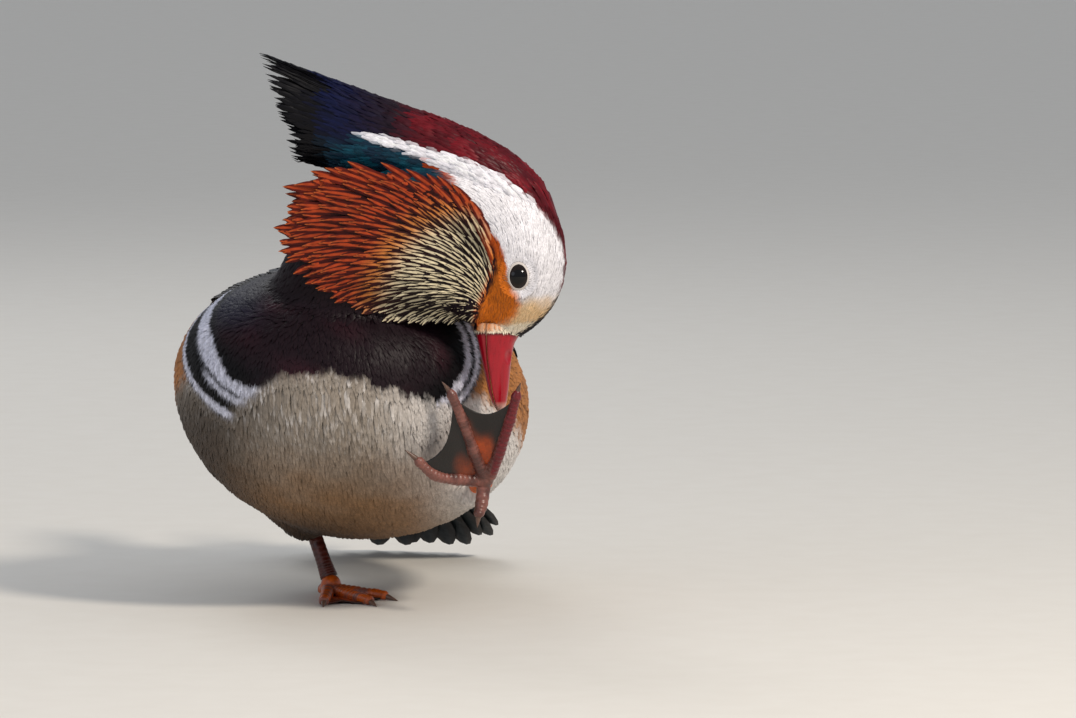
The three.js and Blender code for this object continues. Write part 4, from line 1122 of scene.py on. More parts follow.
# The hackles leave the cheek along spirals round this point, 30 degrees off its radii.
FLOW_X, FLOW_Z, FLOW_LEAN = 54.0, 119.0, math.radians(30)
HACKLE_EDGE = np.concatenate([
    [[84, 15], [92, 22], [100, 30], [106, 35], [113, 39]], RUFF_EDGE[2:-1], [[236, 19], [250, 21], [264, 20]],
])


def flow(away, degrees, run):
    """x and z after a run along the spiral that starts at this distance and heading from its centre."""
    r = away + run * math.cos(FLOW_LEAN)
    a = np.radians(degrees) + math.tan(FLOW_LEAN) * np.log(r / away)
    return FLOW_X + np.cos(a) * r, FLOW_Z + np.sin(a) * r


def ruff_roots(draw):
    """Distance, heading and spacing of each hackle: rows that grow longer and wider apart from the cheek."""
    rows = []
    r = 1.4
    while r < 90:
        gap = 0.95 + 2.3 * (1 - math.exp(-r / 32))
        turn = math.degrees(gap / r)
        pace = (1.0 + 0.055 * r) * draw.uniform(0.9, 1.1)
        at = np.arange(50, 260, turn) + turn * draw.uniform(0, 1)
        away = r + draw.uniform(-0.3, 0.3, len(at)) * pace
        rows.append(np.stack([away, at + draw.normal(0, 0.07, len(at)) * turn, np.full(len(at), gap)], 1))
        r += pace
    away, degrees, gap = np.concatenate(rows).T
    x, z = flow(away, degrees, 0.0)
    turned, radius, reach = fan_place(x, z)
    behind = side_of(np.stack([x, z], 1), CHEEK_BACK)
    keep = (behind < 1.0 + 3.5 * soft(138, 148, z)) & (z > 113.5) & (turned > 86) & (turned < 262)
    keep &= radius < reach - 4
    return away[keep], degrees[keep], gap[keep]


def ruff_hue(x, z, t):
    """Edge and shaft colours of a hackle where it lies at x, z. t runs from its root to its tip."""
    turned, radius, reach = fan_place(x, z)
    away = np.hypot(x - FLOW_X, z - FLOW_Z)
    near = soft(-3.0, -0.5, side_of(np.stack([x, z], 1), CHEEK_BACK)) * soft(156, 142, z)
    upper = soft(11, 4, reach - radius) * soft(172, 146, turned)
    under = soft(186, 202, turned)
    outer = soft(30, 58, away - 6 * under)
    shaft = tint(R_CREAM, R_GOLD, soft(0.0, 0.45, outer))
    shaft = tint(shaft, R_ORANGE, soft(0.35, 0.9, outer))
    shaft = tint(shaft, R_PINK, under * soft(0.1, 0.7, outer) * 0.8)
    shaft = tint(shaft, R_ORANGE, upper * 0.92)
    shaft = tint(shaft, R_GOLD, soft(0.86, 1.0, t) * outer * 0.5)
    edge = tint(R_DARK, R_MAROON, soft(22, 50, away))
    edge = tint(edge, R_RUST, outer * soft(0.3, 0.9, t) * 0.4)
    edge = tint(edge, R_RUST, upper * 0.55)
    return tint(edge, HUES["cheek_deep"], near * 0.8), tint(shaft, HUES["cheek"], near)


print(len(ruff_roots(np.random.default_rng(41))[0]), "hackles on the right side")

# %% [markdown]
# A hackle has four points to a ring: two edges, a raised shaft and a low keel, so that it has a clear light
# and a dark side. Hackles near the fan's border are shortened to end at it, a little unevenly.

# %% Both ruffs
def ruff(side, label):
    point, over = fan_surface(side)
    draw = np.random.default_rng(41 if side == 1 else 43)
    away, degrees, gap = ruff_roots(draw)
    n = len(away)
    long = (5.0 + 0.27 * away) * draw.uniform(0.88, 1.14, n)
    limit = draw.uniform(0.93, 1.1, n)
    fits = np.ones(n)
    for t in np.linspace(1.0, 0.2, 17):
        _, radius, reach = fan_place(*flow(away, degrees, long * t))
        fits = np.where(radius > reach * limit, t, fits)
    long = long * np.maximum(fits, 0.25)
    wide = gap * 0.6 * draw.uniform(0.94, 1.06, n)
    rings = np.empty((n, 5, 4, 3))
    hues = []
    bend = draw.normal(0, 0.9, n)
    far = soft(10, 70, away)
    high = 0.7 + 1.5 * far + draw.uniform(0, 0.5, n)
    for j, (t, half) in enumerate(zip((0.0, 0.28, 0.55, 0.78, 0.92), (0.7, 1.0, 0.94, 0.7, 0.34))):
        rise = -0.4 + (high + 0.4) * t**0.7
        x, z = flow(away, degrees + bend * t * t, long * t)
        ahead_x, ahead_z = flow(away, degrees + bend * t * t, long * t + 0.6)
        middle = over(x, z, rise)
        ahead = unit(over(ahead_x, ahead_z, rise) - middle)
        out = np.tile([0.0, -side, 0.0], (n, 1))
        out = unit(out - (out * ahead).sum(1, keepdims=True) * ahead)
        b = unit(np.cross(out, ahead))
        half = (wide * half)[:, None]
        corners = [middle - b * half, middle + out * 0.28, middle + b * half, middle - out * 0.15]
        rings[:, j] = np.stack(corners, 1)
        hues.append(ruff_hue(x, z, t))
    x, z = flow(away, degrees + bend, long)
    tips = over(x, z, high)
    hues.append(ruff_hue(x, z, 1.0))
    gain = draw.uniform(0.86, 1.12, n)[:, None, None]
    edge, shaft = (np.clip(np.stack(part, 1) * gain, 0, 1) for part in zip(*hues))
    piece = vane_mesh(f"ruff_hackles_{label}", rings, tips, np.array([0, 0.5, 1, 0.5]), edge, shaft,
                      head_unwrap(rings[:, 0, 1]))
    if side == -1:
        outward(piece)
    settle(piece, HACKLE_PLUMAGE, "orange_plumage", f"ruff_{label}")
    angles = np.linspace(RUFF_EDGE[0, 0] + 1, RUFF_EDGE[-1, 0] - 1, 30)
    leaf = []
    for s in np.linspace(0.02, 0.84, 16):
        up = point(np.full(30, s), angles, np.full(30, -0.5 + 0.4 * s))
        down = point(np.full(30, s), angles, np.full(30, -1.5))
        leaf.append(np.concatenate([up, down[::-1]]))
    leaf = np.array(leaf)
    under_leaf = tube_mesh(f"ruff_down_{label}", leaf, sheet=True)
    # Painted shade: the sheet under the hackles is dark maroon at half its brightness.
    paint(under_leaf, hue=np.tile(R_MAROON * 0.5, (leaf.size // 3, 1)))
    settle(under_leaf, skin.data.materials[0], "orange_plumage")


ruff(1, "right")
ruff(-1, "left")

# %% [markdown]
# ## Quill feathers
# Wings and tail are made of big vanes. Each has a shaft, a vane that curves down to both sides and a
# rounded tip, as a grid of seven columns closed underneath. A row of them is laid on a surface in the order
# in which real ones overlap.

# %% One quill, and rows of them
COLUMNS = np.linspace(-1, 1, 7)
ROUND_U = np.concatenate([(COLUMNS + 1) / 2, (COLUMNS[::-1] + 1) / 2])
QUILL_THICK = 0.35


def quill_rows(name, quills, material, slot, replaced=()):
    """quills: dicts. at(u, v, out) is the surface they lie on, along which u runs from "from" to "to" and v
    from "v0" to "v1". edge and shaft are functions that give colours along the vane."""
    rings, tips, edges, shafts = [], [], [], []
    s = np.array([0.0, 0.12, 0.3, 0.5, 0.68, 0.82, 0.92, 0.98])
    for q in quills:
        u = q["from"] + (q["to"] - q["from"]) * s
        v = q["v0"] + (q["v1"] - q["v0"]) * s
        out = q["low"] + (q["high"] - q["low"]) * np.minimum(1, s * 1.5)
        dv = q["step"][0] + (q["step"][1] - q["step"][0]) * s
        middle = q["at"](u, v, out)
        gap = q["at"](u, v + dv / 2, out) - q["at"](u, v - dv / 2, out)
        width = np.linalg.norm(gap, axis=1) * q["cover"] / 2
        tip = 0.82 + 0.18 * np.sin(np.pi * np.minimum(1, s * 1.6) * 0.5)
        closing = np.clip((1 - s) / q["round"], 0, 1) ** 0.5
        width = width * tip * np.where(s > 1 - q["round"], closing, 1) * np.where(s < 0.1, 0.6, 1)
        sideways = unit(gap)
        outward_way = unit(q["at"](u, v, out + 1) - middle)
        outward_way = unit(outward_way - (outward_way * sideways).sum(1, keepdims=True) * sideways)
        tilt = np.arcsin(np.clip(0.6 / np.linalg.norm(gap, axis=1), 0, 0.35))[:, None]
        b = sideways * np.cos(tilt) - outward_way * np.sin(tilt)
        o = outward_way * np.cos(tilt) + sideways * np.sin(tilt)
        c = COLUMNS[None, :, None]
        arch = ((1 - c**2) * q["arch"] - 0.3 * q["arch"]) * width[:, None, None]
        top = middle[:, None] + b[:, None] * c * width[:, None, None] + o[:, None] * arch
        top = top + o[:, None] * np.where(np.abs(c) < 0.1, 0.18, 0.0)
        thin = QUILL_THICK * (1 - 0.55 * np.abs(c)) * (1 - 0.5 * s[:, None, None])
        under = top - o[:, None] * thin
        rings.append(np.concatenate([top, under[:, ::-1]], axis=1))
        tips.append(q["at"](np.array([q["to"]]), np.array([q["v1"]]), np.array([q["high"]]))[0])
        full = np.append(s, 1.0)
        edges.append(q["edge"](full))
        shafts.append(q["shaft"](full))
    rings, tips = np.array(rings), np.array(tips)
    along, round_it = body_place(rings[:, 0, 3])
    unwrapped = np.clip(np.stack([round_it / 360 + 0.5, (along + 230) / 330], 1), 0.01, 0.99)
    piece = vane_mesh(name, rings, tips, ROUND_U, np.array(edges), np.array(shafts), unwrapped)
    outward(piece)
    settle(piece, material, slot, *replaced)


def shaded(*stops):
    """A colour along a feather from stops of (share, hex)."""
    places = [p for p, _ in stops]
    hues = np.array([colour(h) for _, h in stops])

    def at(s):
        return np.stack([np.interp(s, places, hues[:, i]) for i in range(3)], 1)

    return at


print("a quill has", len(ROUND_U), "points to a ring")

# %% [markdown]
# ## Folded wings
# Each folded wing lies high on the flank: long dark primaries that end beside the tail, secondaries with a
# green-blue speculum and white tips, three rows of coverts, and glossy scapulars. Over the shoulder two
# of the scapulars are white and have a black one on either side.

# %% Wings
# Name, count, from, to, angles at root and at tip, low, high, how much each next one is shorter, and then
# the hexes of edge and shaft side, at root and tip.
WING_ROWS = [
    ("primaries", 7, -50, -150, (42, 64), (51, 68), 1.6, 3.2, -8,
     ("#8f9aa6", "#7f8a98"), ("#2a2a30", "#1f2733")),
    ("secondaries", 9, -24, -98, (33, 61), (33, 64), 1.8, 3.6, 0,
     ("#23303a", "#e8e4da"), ("#1d4f4c", "#1e3f62")),
    ("tertials", 4, -8, -112, (64, 80), (66, 79), 2.2, 4.6, 9,
     ("#463a30", "#3a4658"), ("#2c2622", "#26303e")),
    ("coverts", 11, 4, -46, (36, 62), (34, 62), 1.0, 3.4, 0,
     ("#3b332c", "#4c4238"), ("#2a2520", "#2c3036")),
    ("small_coverts", 12, 22, -14, (37, 62), (35, 62), 0.4, 2.6, 0,
     ("#3f372f", "#54483c"), ("#2b2622", "#302c2a")),
    ("lesser_coverts", 16, 34, 8, (38, 62), (37, 62), -0.8, 2.0, 0,
     ("#403830", "#5a4c3e"), ("#2c2723", "#332e2b")),
    ("scapulars", 7, 30, -52, (64, 84), (62, 82), 1.0, 4.4, 5,
     ("#1c2030", "#20283c"), ("#262036", "#1b2a3c")),
    ("front_scapulars", 7, 40, -6, (62, 84), (64, 84), -0.8, 3.2, 3,
     ("#1e1c2c", "#232a44"), ("#241c30", "#1e2438")),
]
SPECIAL_SCAPULARS = {
    0: (("#0d0c10", "#0d0c10"), ("#121016", "#121016")),
    1: (("#f0ede6", "#f0ede6"), ("#f6f4ee", "#f6f4ee")),
}
SPECIAL_SCAPULARS |= {2: SPECIAL_SCAPULARS[1], 3: SPECIAL_SCAPULARS[0]}


def wing(side, label):
    draw = np.random.default_rng(51 if side == 1 else 53)
    turned_to = (lambda d: 180 - d) if side == 1 else (lambda d: d)
    for start in range(0, len(WING_ROWS), 4):
        quills = []
        for name, many, first, last, root, tip, low, high, short, rim, heart in WING_ROWS[start : start + 4]:
            step = [(angles[1] - angles[0]) / (many - 1) * -side for angles in (root, tip)]
            for i in range(many):
                t = i / (many - 1)
                edge_hex, heart_hex = rim, heart
                if name == "front_scapulars":
                    edge_hex, heart_hex = SPECIAL_SCAPULARS.get(i, (rim, heart))
                quills.append({
                    "at": back_point,
                    "from": first + draw.uniform(-1.5, 1.5),
                    "to": last - short * i + draw.uniform(-2, 2),
                    "v0": turned_to(root[0] + (root[1] - root[0]) * t),
                    "v1": turned_to(tip[0] + (tip[1] - tip[0]) * t + draw.uniform(-0.4, 0.4)),
                    "step": step, "low": low - 0.8, "high": high - 0.6 + draw.uniform(-0.15, 0.25),
                    "cover": 1.75, "round": 0.14 if last - first < -60 else 0.3, "arch": 0.1,
                    "edge": shaded((0, edge_hex[0]), (0.8, edge_hex[0]), (0.97, edge_hex[1])),
                    "shaft": shaded((0, heart_hex[0]), (0.5, heart_hex[0]), (0.9, heart_hex[1])),
                })
        replaced = (f"wing_{label}",) if start == 0 else ()
        kind = "flight" if start == 0 else "shoulder"
        quill_rows(f"wing_{kind}_{label}", quills, GLOSSY_PLUMAGE, "dark_plumage", replaced)


wing(1, "right")
wing(-1, "left")

# %% [markdown]
# ## Sails
# One inner wing feather on each side has a hugely widened vane that stands upright like a sail. It is
# chestnut orange, with a black line and a white rim along its rear and upper edge, and blue-black low
# down, where it leaves the wing. It is one grid of points, closed round its back.

# %% Sails
SAIL = {"from": -22, "long": 66, "high": 40, "angle": 66, "lean": 6}
SAIL_LONG_STEPS, SAIL_HIGH_STEPS = 34, 22
# A sail is one stiff vane, so its barbs show as fine even lines that run out to its edge.
SAIL_PLUMAGE = plumage("sail_vane", 0.5, 0.001, 260, 0.05, 0.15)


def sail(side, label):
    angle = 180 - SAIL["angle"] if side == 1 else SAIL["angle"]
    lean = math.radians(SAIL["lean"])
    rise = UP * math.cos(lean) - LEFT * side * math.sin(lean)
    s = np.linspace(0, 1, SAIL_LONG_STEPS)
    t = np.linspace(0, 1, SAIL_HIGH_STEPS)
    tall = 5 + SAIL["high"] * np.sin(np.pi / 2 * np.minimum(1, s * 1.04)) ** 1.15
    base = back_point(SAIL["from"] - SAIL["long"] * s * 0.82, np.full(len(s), angle), np.full(len(s), -1.0))
    top = base + rise * tall[:, None] + FORWARD * (-14 * s - 2)[:, None]
    bulge = LEFT * -side * 2.2
    grid = base[:, None] * (1 - t)[None, :, None] + top[:, None] * t[None, :, None]
    grid = grid + bulge * (np.sin(np.pi * s)[:, None] * np.sin(np.pi * t)[None])[..., None]
    ribs = 0.12 * np.sin(t[None, :] * 90 + 14 * s[:, None])
    grid = grid + LEFT * ribs[..., None]
    half = 0.38 * (1 - 0.6 * np.abs(2 * t - 1) ** 3)[None, :, None] * LEFT
    front, back = grid + half, grid - half
    rings = np.concatenate([front, back[:, ::-1]], axis=1)
    piece = tube_mesh(f"sail_{label}_feather", rings, sheet=True)
    u = np.concatenate([t, t[::-1]])
    edge_gap = np.minimum((1 - s)[:, None] * 60, (1 - u)[None] * 40)
    orange = tint(colour("#c06a26"), colour("#8f3f14"), soft(0.2, 1.0, u)[None] * np.ones((len(s), 1)))
    orange = tint(orange, colour("#d98a45"), (soft(0.5, 0.9, s)[:, None] * soft(0.1, 0.5, u)[None]) * 0.4)
    hue = tint(orange, colour("#101420"), soft(4.2, 3.4, edge_gap))
    hue = tint(hue, colour("#f2efe8"), soft(2.0, 1.5, edge_gap))
    hue = tint(hue, colour("#15223a"), soft(0.22, 0.12, u)[None] * np.ones((len(s), 1)))
    paint(piece, edge=hue.reshape(-1, 3), shaft=hue.reshape(-1, 3))
    vane = np.stack([np.tile(u, len(s)), np.repeat(s, len(u))], 1)
    unwrap(piece, "Vane", vane)
    unwrap(piece, "OFBake", np.clip(vane, 0.01, 0.99))
    settle(piece, SAIL_PLUMAGE, "orange_plumage", f"sail_{label}")


sail(1, "right")
sail(-1, "left")

# %% [markdown]
# ## Tail
# Sixteen dark feathers in a shallow fan, with brown coverts over their roots and pale ones under them. The
# outer ones are shorter, which rounds the tail, and each ends a little off its neighbours, as worn ones do.

# %% Tail
TAIL_DROOP, TAIL_SWEEP = math.radians(12), math.radians(4)
tail_back = unit(-FORWARD * math.cos(TAIL_DROOP) - UP * math.sin(TAIL_DROOP) - LEFT * math.sin(TAIL_SWEEP))
tail_up = unit(np.cross(LEFT, tail_back))
tail_left = np.cross(tail_back, tail_up)
tail_root = BODY["centre"] + FORWARD * -104 + UP * 12


def fan_point(out, degrees, high):
    a = np.radians(degrees)
    ahead = np.cos(a)[..., None] * tail_back + np.sin(a)[..., None] * tail_left
    sag = 3.2 * (np.asarray(degrees) / 25) ** 2
    return tail_root - tail_back * 34 + ahead * (out + 34)[..., None] + tail_up * (high - sag)[..., None]


def tail_row(many, spread, start, length, low, high, seed, edge, heart):
    draw = np.random.default_rng(seed)
    step = 2 * spread / (many - 1)
    quills = []
    for i in range(many):
        d = -spread + step * i
        quills.append({
            "at": fan_point,
            "from": start,
            "to": length * (1 - 0.24 * (d / 25) ** 2) + draw.uniform(-5.0, 2.5),
            "v0": d, "v1": d + draw.uniform(-1.3, 1.3), "step": (step, step), "low": low, "high": high,
            "cover": 1.9, "round": 0.17, "arch": 0.05, "edge": shaded(*edge), "shaft": shaded(*heart),
        })
    return quills


quills = tail_row(16, 25, 6, 95, 0, 0, 71,
                  [(0, "#1c1916"), (0.9, "#231f1c"), (1, "#3a342d")], [(0, "#121314"), (1, "#141c1e")])
quills += tail_row(11, 17, 0, 58, 2.0, 1.8, 72,
                   [(0, "#2e2822"), (1, "#43392e")], [(0, "#241f1c"), (1, "#23282a")])
quills += tail_row(9, 13, -4, 38, 4.2, 3.2, 73,
                   [(0, "#2c2620"), (1, "#3f352b")], [(0, "#26201c"), (1, "#262a2c")])
quill_rows("tail_feathers", quills, GLOSSY_PLUMAGE, "dark_plumage", ("tail",))
quills = tail_row(11, 17, 0, 64, -2.0, -1.8, 74,
                  [(0, "#cfc5b8"), (1, "#a0917f")], [(0, "#b9ad9f"), (1, "#8d7f6e")])
quills += tail_row(9, 13, -6, 42, -4.4, -3.2, 75,
                   [(0, "#e0d8cc"), (1, "#d2c8ba")], [(0, "#cfc5b8"), (1, "#b9ad9f")])
quill_rows("tail_coverts_below", quills, SOFT_PLUMAGE, "body_plumage")

# %% [markdown]
# ## Bill
# A mandarin's bill is short, with a red horny sheath and a paler hard nail at its tip. Both mandibles are
# lofted in rings along the bill with a gap between them at the mouth line. The nostril is a real dent.

# %% Bill
# Share of the bill from root to tip, then x of its upper and its lower edge and its half width.
BILL = np.array([
    [-0.06, 69.4, 51.2, 8.2], [0, 68.9, 51.6, 8], [0.13, 66.4, 52.5, 7.3],
    [0.3, 65.2, 53.6, 6.3], [0.55, 64.5, 55.2, 5.5], [0.75, 63.9, 56.5, 5.2],
    [0.9, 63.2, 57.9, 4.4], [0.97, 62.3, 59.3, 2.9], [1, 61.3, 60.4, 1.2],
])
BILL_ROOT, BILL_LONG = 111.5, 30.5
NOSTRIL_X, NOSTRIL_Z = 64.0, 102.6


def mandible(upper):
    shares = 1 - np.linspace(1.09, 0, 66) ** 1.15
    rows = np.stack([np.interp(shares, BILL[:, 0], BILL[:, i]) for i in range(4)], 1)
    for _ in range(3):
        rows[1:-1] = (rows[:-2] + 2 * rows[1:-1] + rows[2:]) / 4
    angle = np.linspace(0, np.pi, 33)
    z = BILL_ROOT - rows[:, 0] * BILL_LONG
    mouth = rows[:, 2] + (rows[:, 1] - rows[:, 2]) * 0.24 - 0.5 * np.sin(np.pi * np.clip(rows[:, 0], 0, 1))
    edge = mouth + (0.16 if upper else -0.16)
    high = np.abs((rows[:, 1] if upper else rows[:, 2]) - edge)
    out = np.sin(angle)[None] ** 0.85 * high[:, None] * (1 if upper else -1)
    wide = np.cos(angle)[None] * (rows[:, 3] * (1 if upper else 0.9))[:, None]
    if upper:
        lip = 0.25 * np.exp(-((np.sin(angle)[None] - 0.06) / 0.09) ** 2)
        wide = wide * (1 + 0.06 * lip)
    x = edge[:, None] + out
    ring = np.stack([x, HEAD_Y + wide, np.broadcast_to(z[:, None], x.shape)], -1)
    if upper:
        hole = ((ring[..., 2] - NOSTRIL_Z) / 2.2) ** 2 + ((ring[..., 0] - NOSTRIL_X) / 0.95) ** 2
        dent = np.exp(-(hole**2)) * 1.5 * (np.abs(np.cos(angle))[None] > 0.2)
        ring[..., 1] -= np.sign(ring[..., 1] - HEAD_Y) * dent
    floor_line = np.linspace(ring[:, -1], ring[:, 0], 9, axis=1)[:, 1:-1]
    ring = np.concatenate([ring, floor_line], axis=1)
    root = soft(-0.02, -0.1, rows[:, 0])[:, None, None]
    return ring + (ring.mean(1, keepdims=True) - ring) * 0.4 * root


print("the bill is", BILL_LONG, "mm long in front of its root")

# %% [markdown]
# The horn is a deep red with streaks that run along it, glossy but not mirror-like. Its tip, the nail, is
# paler, and at the root, where it goes under the feathers, the red darkens as painted shade.

# %% Horn and both mandibles
def bill_material():
    material, tree, shader = new_material("red_keratin_bill")
    place = node(tree, "ShaderNodeTexCoord")
    parts = node(tree, "ShaderNodeSeparateXYZ", [(place.outputs[3], 0)])
    streaks = node(tree, "ShaderNodeMapping", [(place.outputs[3], 0)], in_3=(900, 900, 110))
    noise = node(tree, "ShaderNodeTexNoise", [(streaks.outputs[0], 0)], in_2=1.0, in_3=4.0)
    tone = node(tree, "ShaderNodeMix", data_type="RGBA", links=[(noise.outputs[0], 0)],
                in_6=(*colour("#7c0013"), 1), in_7=(*colour("#b4001f"), 1))
    nail = node(tree, "ShaderNodeMapRange", [(parts.outputs[2], 0)], in_1=0.0855, in_2=0.0825)
    pale = node(tree, "ShaderNodeMix", data_type="RGBA", links=[(nail.outputs[0], 0), (tone.outputs[2], 6)],
                in_7=(*colour("#e8b9a8"), 1))
    # Painted shade: near its root, where the horn goes under the feathers, the red darkens to near black.
    root = node(tree, "ShaderNodeMapRange", [(parts.outputs[2], 0)], in_1=0.1105, in_2=0.1122)
    rim = node(tree, "ShaderNodeMix", data_type="RGBA", links=[(root.outputs[0], 0), (pale.outputs[2], 6)],
               in_7=(*colour("#2a0a10"), 1))
    rough = node(tree, "ShaderNodeMapRange", [(noise.outputs[0], 0)], in_1=0.3, in_2=0.7,
                 in_3=0.24, in_4=0.38)
    bump = node(tree, "ShaderNodeBump", [(noise.outputs[0], "Height")], in_0=0.35, in_1=0.00012)
    dress(tree, shader, {
        "Base Color": rim.outputs[2], "Roughness": rough.outputs[0], "Normal": bump.outputs[0],
        "Specular IOR Level": 0.3, "Coat Weight": 0.3, "Coat Roughness": 0.2,
    })
    return material


BILL_HORN = bill_material()
for upper, label in ((True, "upper"), (False, "lower")):
    piece = tube_mesh(f"bill_{label}_sheath", mandible(upper))
    settle(piece, BILL_HORN, "bill_horn", f"bill_{label}")

# %% [markdown]
# The face's feathering ends in a dense rim of very small feathers that lean over the root of the bill. Three
# rows of them are set round the bill's own outline, so that skin and horn meet under them, unseen.

# %% Feathered rim of the bill
def bill_rim():
    draw = np.random.default_rng(61)
    outline = []
    for upper in (True, False):
        rings = mandible(upper)
        level = np.argmin(np.abs(rings[:, 0, 2] - 112.0))
        loop = rings[level, :33]
        outline.append(loop if upper else loop[::-1])
    outline = np.concatenate(outline)
    middle = outline.mean(0)
    bounds = np.append(0, np.cumsum(np.linalg.norm(np.diff(outline, axis=0), axis=1)))
    rings, tips = [], []
    for row in range(3):
        at = np.arange(0.3, bounds[-1], 0.5) + draw.uniform(-0.12, 0.12)
        base = np.stack([np.interp(at, bounds, outline[:, i]) for i in range(3)], 1)
        onward = np.stack([np.interp(at + 0.3, bounds, outline[:, i]) for i in range(3)], 1)
        ahead = unit(onward - base + 1e-6)
        out = unit((base - middle) * [1, 1, 0])
        sway = draw.normal(0, 0.25, len(at))[:, None] * ahead
        drop = np.array([0, 0, -1.0]) * draw.uniform(0.85, 1.15, len(at))[:, None]
        root = base - out * 0.3 + np.array([0, 0, 2.2 + 0.6 * row])
        lean = out * (0.7 + 0.15 * row) + sway
        line = [root + drop * 3.1 * t + lean * t**0.7 for t in (0.0, 0.4, 0.75, 1.0)]
        wide = [ahead * half for half in (0.34, 0.42, 0.3)]
        rings.append(np.stack([np.stack([c - h, c + out * 0.1, c + h], 1) for c, h in zip(line, wide)], 1))
        tips.append(line[3])
    rings, tips = np.concatenate(rings), np.concatenate(tips)
    hue = head_hue(tips + np.array([0, 0, 1.6]), 3)
    hue = np.repeat((hue * draw.uniform(0.92, 1.05, len(hue))[:, None])[:, None], 4, axis=1)
    hue = hue * np.array([0.7, 0.9, 1.0, 0.8])[None, :, None]
    piece = vane_mesh("bill_rim_feathers", rings, tips, ACROSS, hue, hue, head_unwrap(rings[:, 0, 1]))
    outward(piece)
    settle(piece, SILKY_PLUMAGE, "face_plumage")


bill_rim()

# %% [markdown]
# ## Eyes
# A duck's eye is a dark brown iris round a black pupil under a wet, clear cornea. The cornea is the
# material's clear coat on a finely made ball. A raised lid margin of bare skin runs round it.

# %% Eyes and lids
def eye_material(side):
    material, tree, shader = new_material(f"wet_eye_{side}")
    place = node(tree, "ShaderNodeTexCoord")
    centre = (EYE[0] * MM, (HEAD_Y - side * 19) * MM, EYE[2] * MM)
    gap = node(tree, "ShaderNodeVectorMath", [(place.outputs[3], 0)], operation="DISTANCE", in_1=centre)
    ring = node(tree, "ShaderNodeMapRange", [(gap.outputs[1], 0)], in_1=0.0026, in_2=0.0030)
    noise = node(tree, "ShaderNodeTexNoise", [(place.outputs[3], 0)], in_2=1800.0, in_3=2.0)
    iris = node(tree, "ShaderNodeMix", data_type="RGBA", links=[(noise.outputs[0], 0)],
                in_6=(*colour("#0c0604"), 1), in_7=(*colour("#1e100a"), 1))
    mixed = node(tree, "ShaderNodeMix", data_type="RGBA", links=[(ring.outputs[0], 0), (iris.outputs[2], 7)],
                 in_6=(*colour("#040304"), 1))
    dress(tree, shader, {
        "Base Color": mixed.outputs[2], "Roughness": 0.2, "Specular IOR Level": 0.05,
        "Coat Weight": 0.5, "Coat Roughness": 0.02,
    })
    return material


def ball_rings(centre, radius, stations, around):
    pole = np.linspace(0.02, math.pi - 0.02, stations)
    angle = np.linspace(0, 2 * math.pi, around + 1)[:-1]
    ring = np.stack([
        np.sin(pole)[:, None] * np.cos(angle)[None],
        np.broadcast_to(np.cos(pole)[:, None], (stations, around)),
        np.sin(pole)[:, None] * np.sin(angle)[None],
    ], -1)
    return centre + radius * ring


# Half width, half height and bulge in mm of the lid's rings: inner wall, margin, flange and underside. The
# underside, with a bulge under 5, is flat.
LID_RINGS = [
    (3.43, 4.66, 5.2), (3.4, 4.6, 5.55), (3.54, 4.8, 5.7), (3.76, 5.04, 5.66), (4.4, 5.5, 5.45),
    (6.3, 6.9, 5.0), (4.6, 5.8, 4.2),
]
LID_AROUND = 72


def eyelid(side, label, centre):
    """A ring-shaped lid. Its last ring of faces closes it round to the first ring of points."""
    angle = np.linspace(0, 2 * math.pi, LID_AROUND + 1)[:-1]
    rings = []
    for wide, tall, bulge in LID_RINGS:
        x, z = np.cos(angle) * wide, np.sin(angle) * tall
        if bulge > 5:
            y = np.maximum(np.sqrt(np.clip(bulge**2 - np.hypot(x, z) ** 2, 0.0, None)), 2.3)
        else:
            y = np.full(LID_AROUND, max(bulge - 3.0, 0.6))
        rings.append(np.stack([x, -side * y, z], 1) + centre)
    faces = []
    for s in range(len(rings)):
        here, there = s * LID_AROUND, (s + 1) % len(rings) * LID_AROUND
        for c in range(LID_AROUND):
            d = (c + 1) % LID_AROUND
            faces.append([here + c, here + d, there + d, there + c])
    lid = mesh_object(f"eyelid_{label}", np.concatenate(rings), np.concatenate(faces), [4] * len(faces))
    outward(lid)
    settle(lid, LID_SKIN, "face_plumage")


LID_SKIN = two_tone("lid_margin_skin", 2500.0, 3.0, "#bdb3ac", "#e0d8d2", 0.5)
EYE_CENTRES = {side: np.array([EYE[0], HEAD_Y - side * 13.6, EYE[2]]) for side in (1, -1)}
for side, label in ((1, "right"), (-1, "left")):
    ball = tube_mesh(f"eye_ball_{label}", ball_rings(EYE_CENTRES[side], 5.4, 40, 64))
    settle(ball, eye_material(side), "eye", f"eye_{label}")
    eyelid(side, label, EYE_CENTRES[side])

# %% [markdown]
# Between the lid and the face six rows of tiny feathers lie outward over the lid's flange. On the bird they
# hide where skin and coat join, and here too the gap left for the eye would show as a dark crescent.

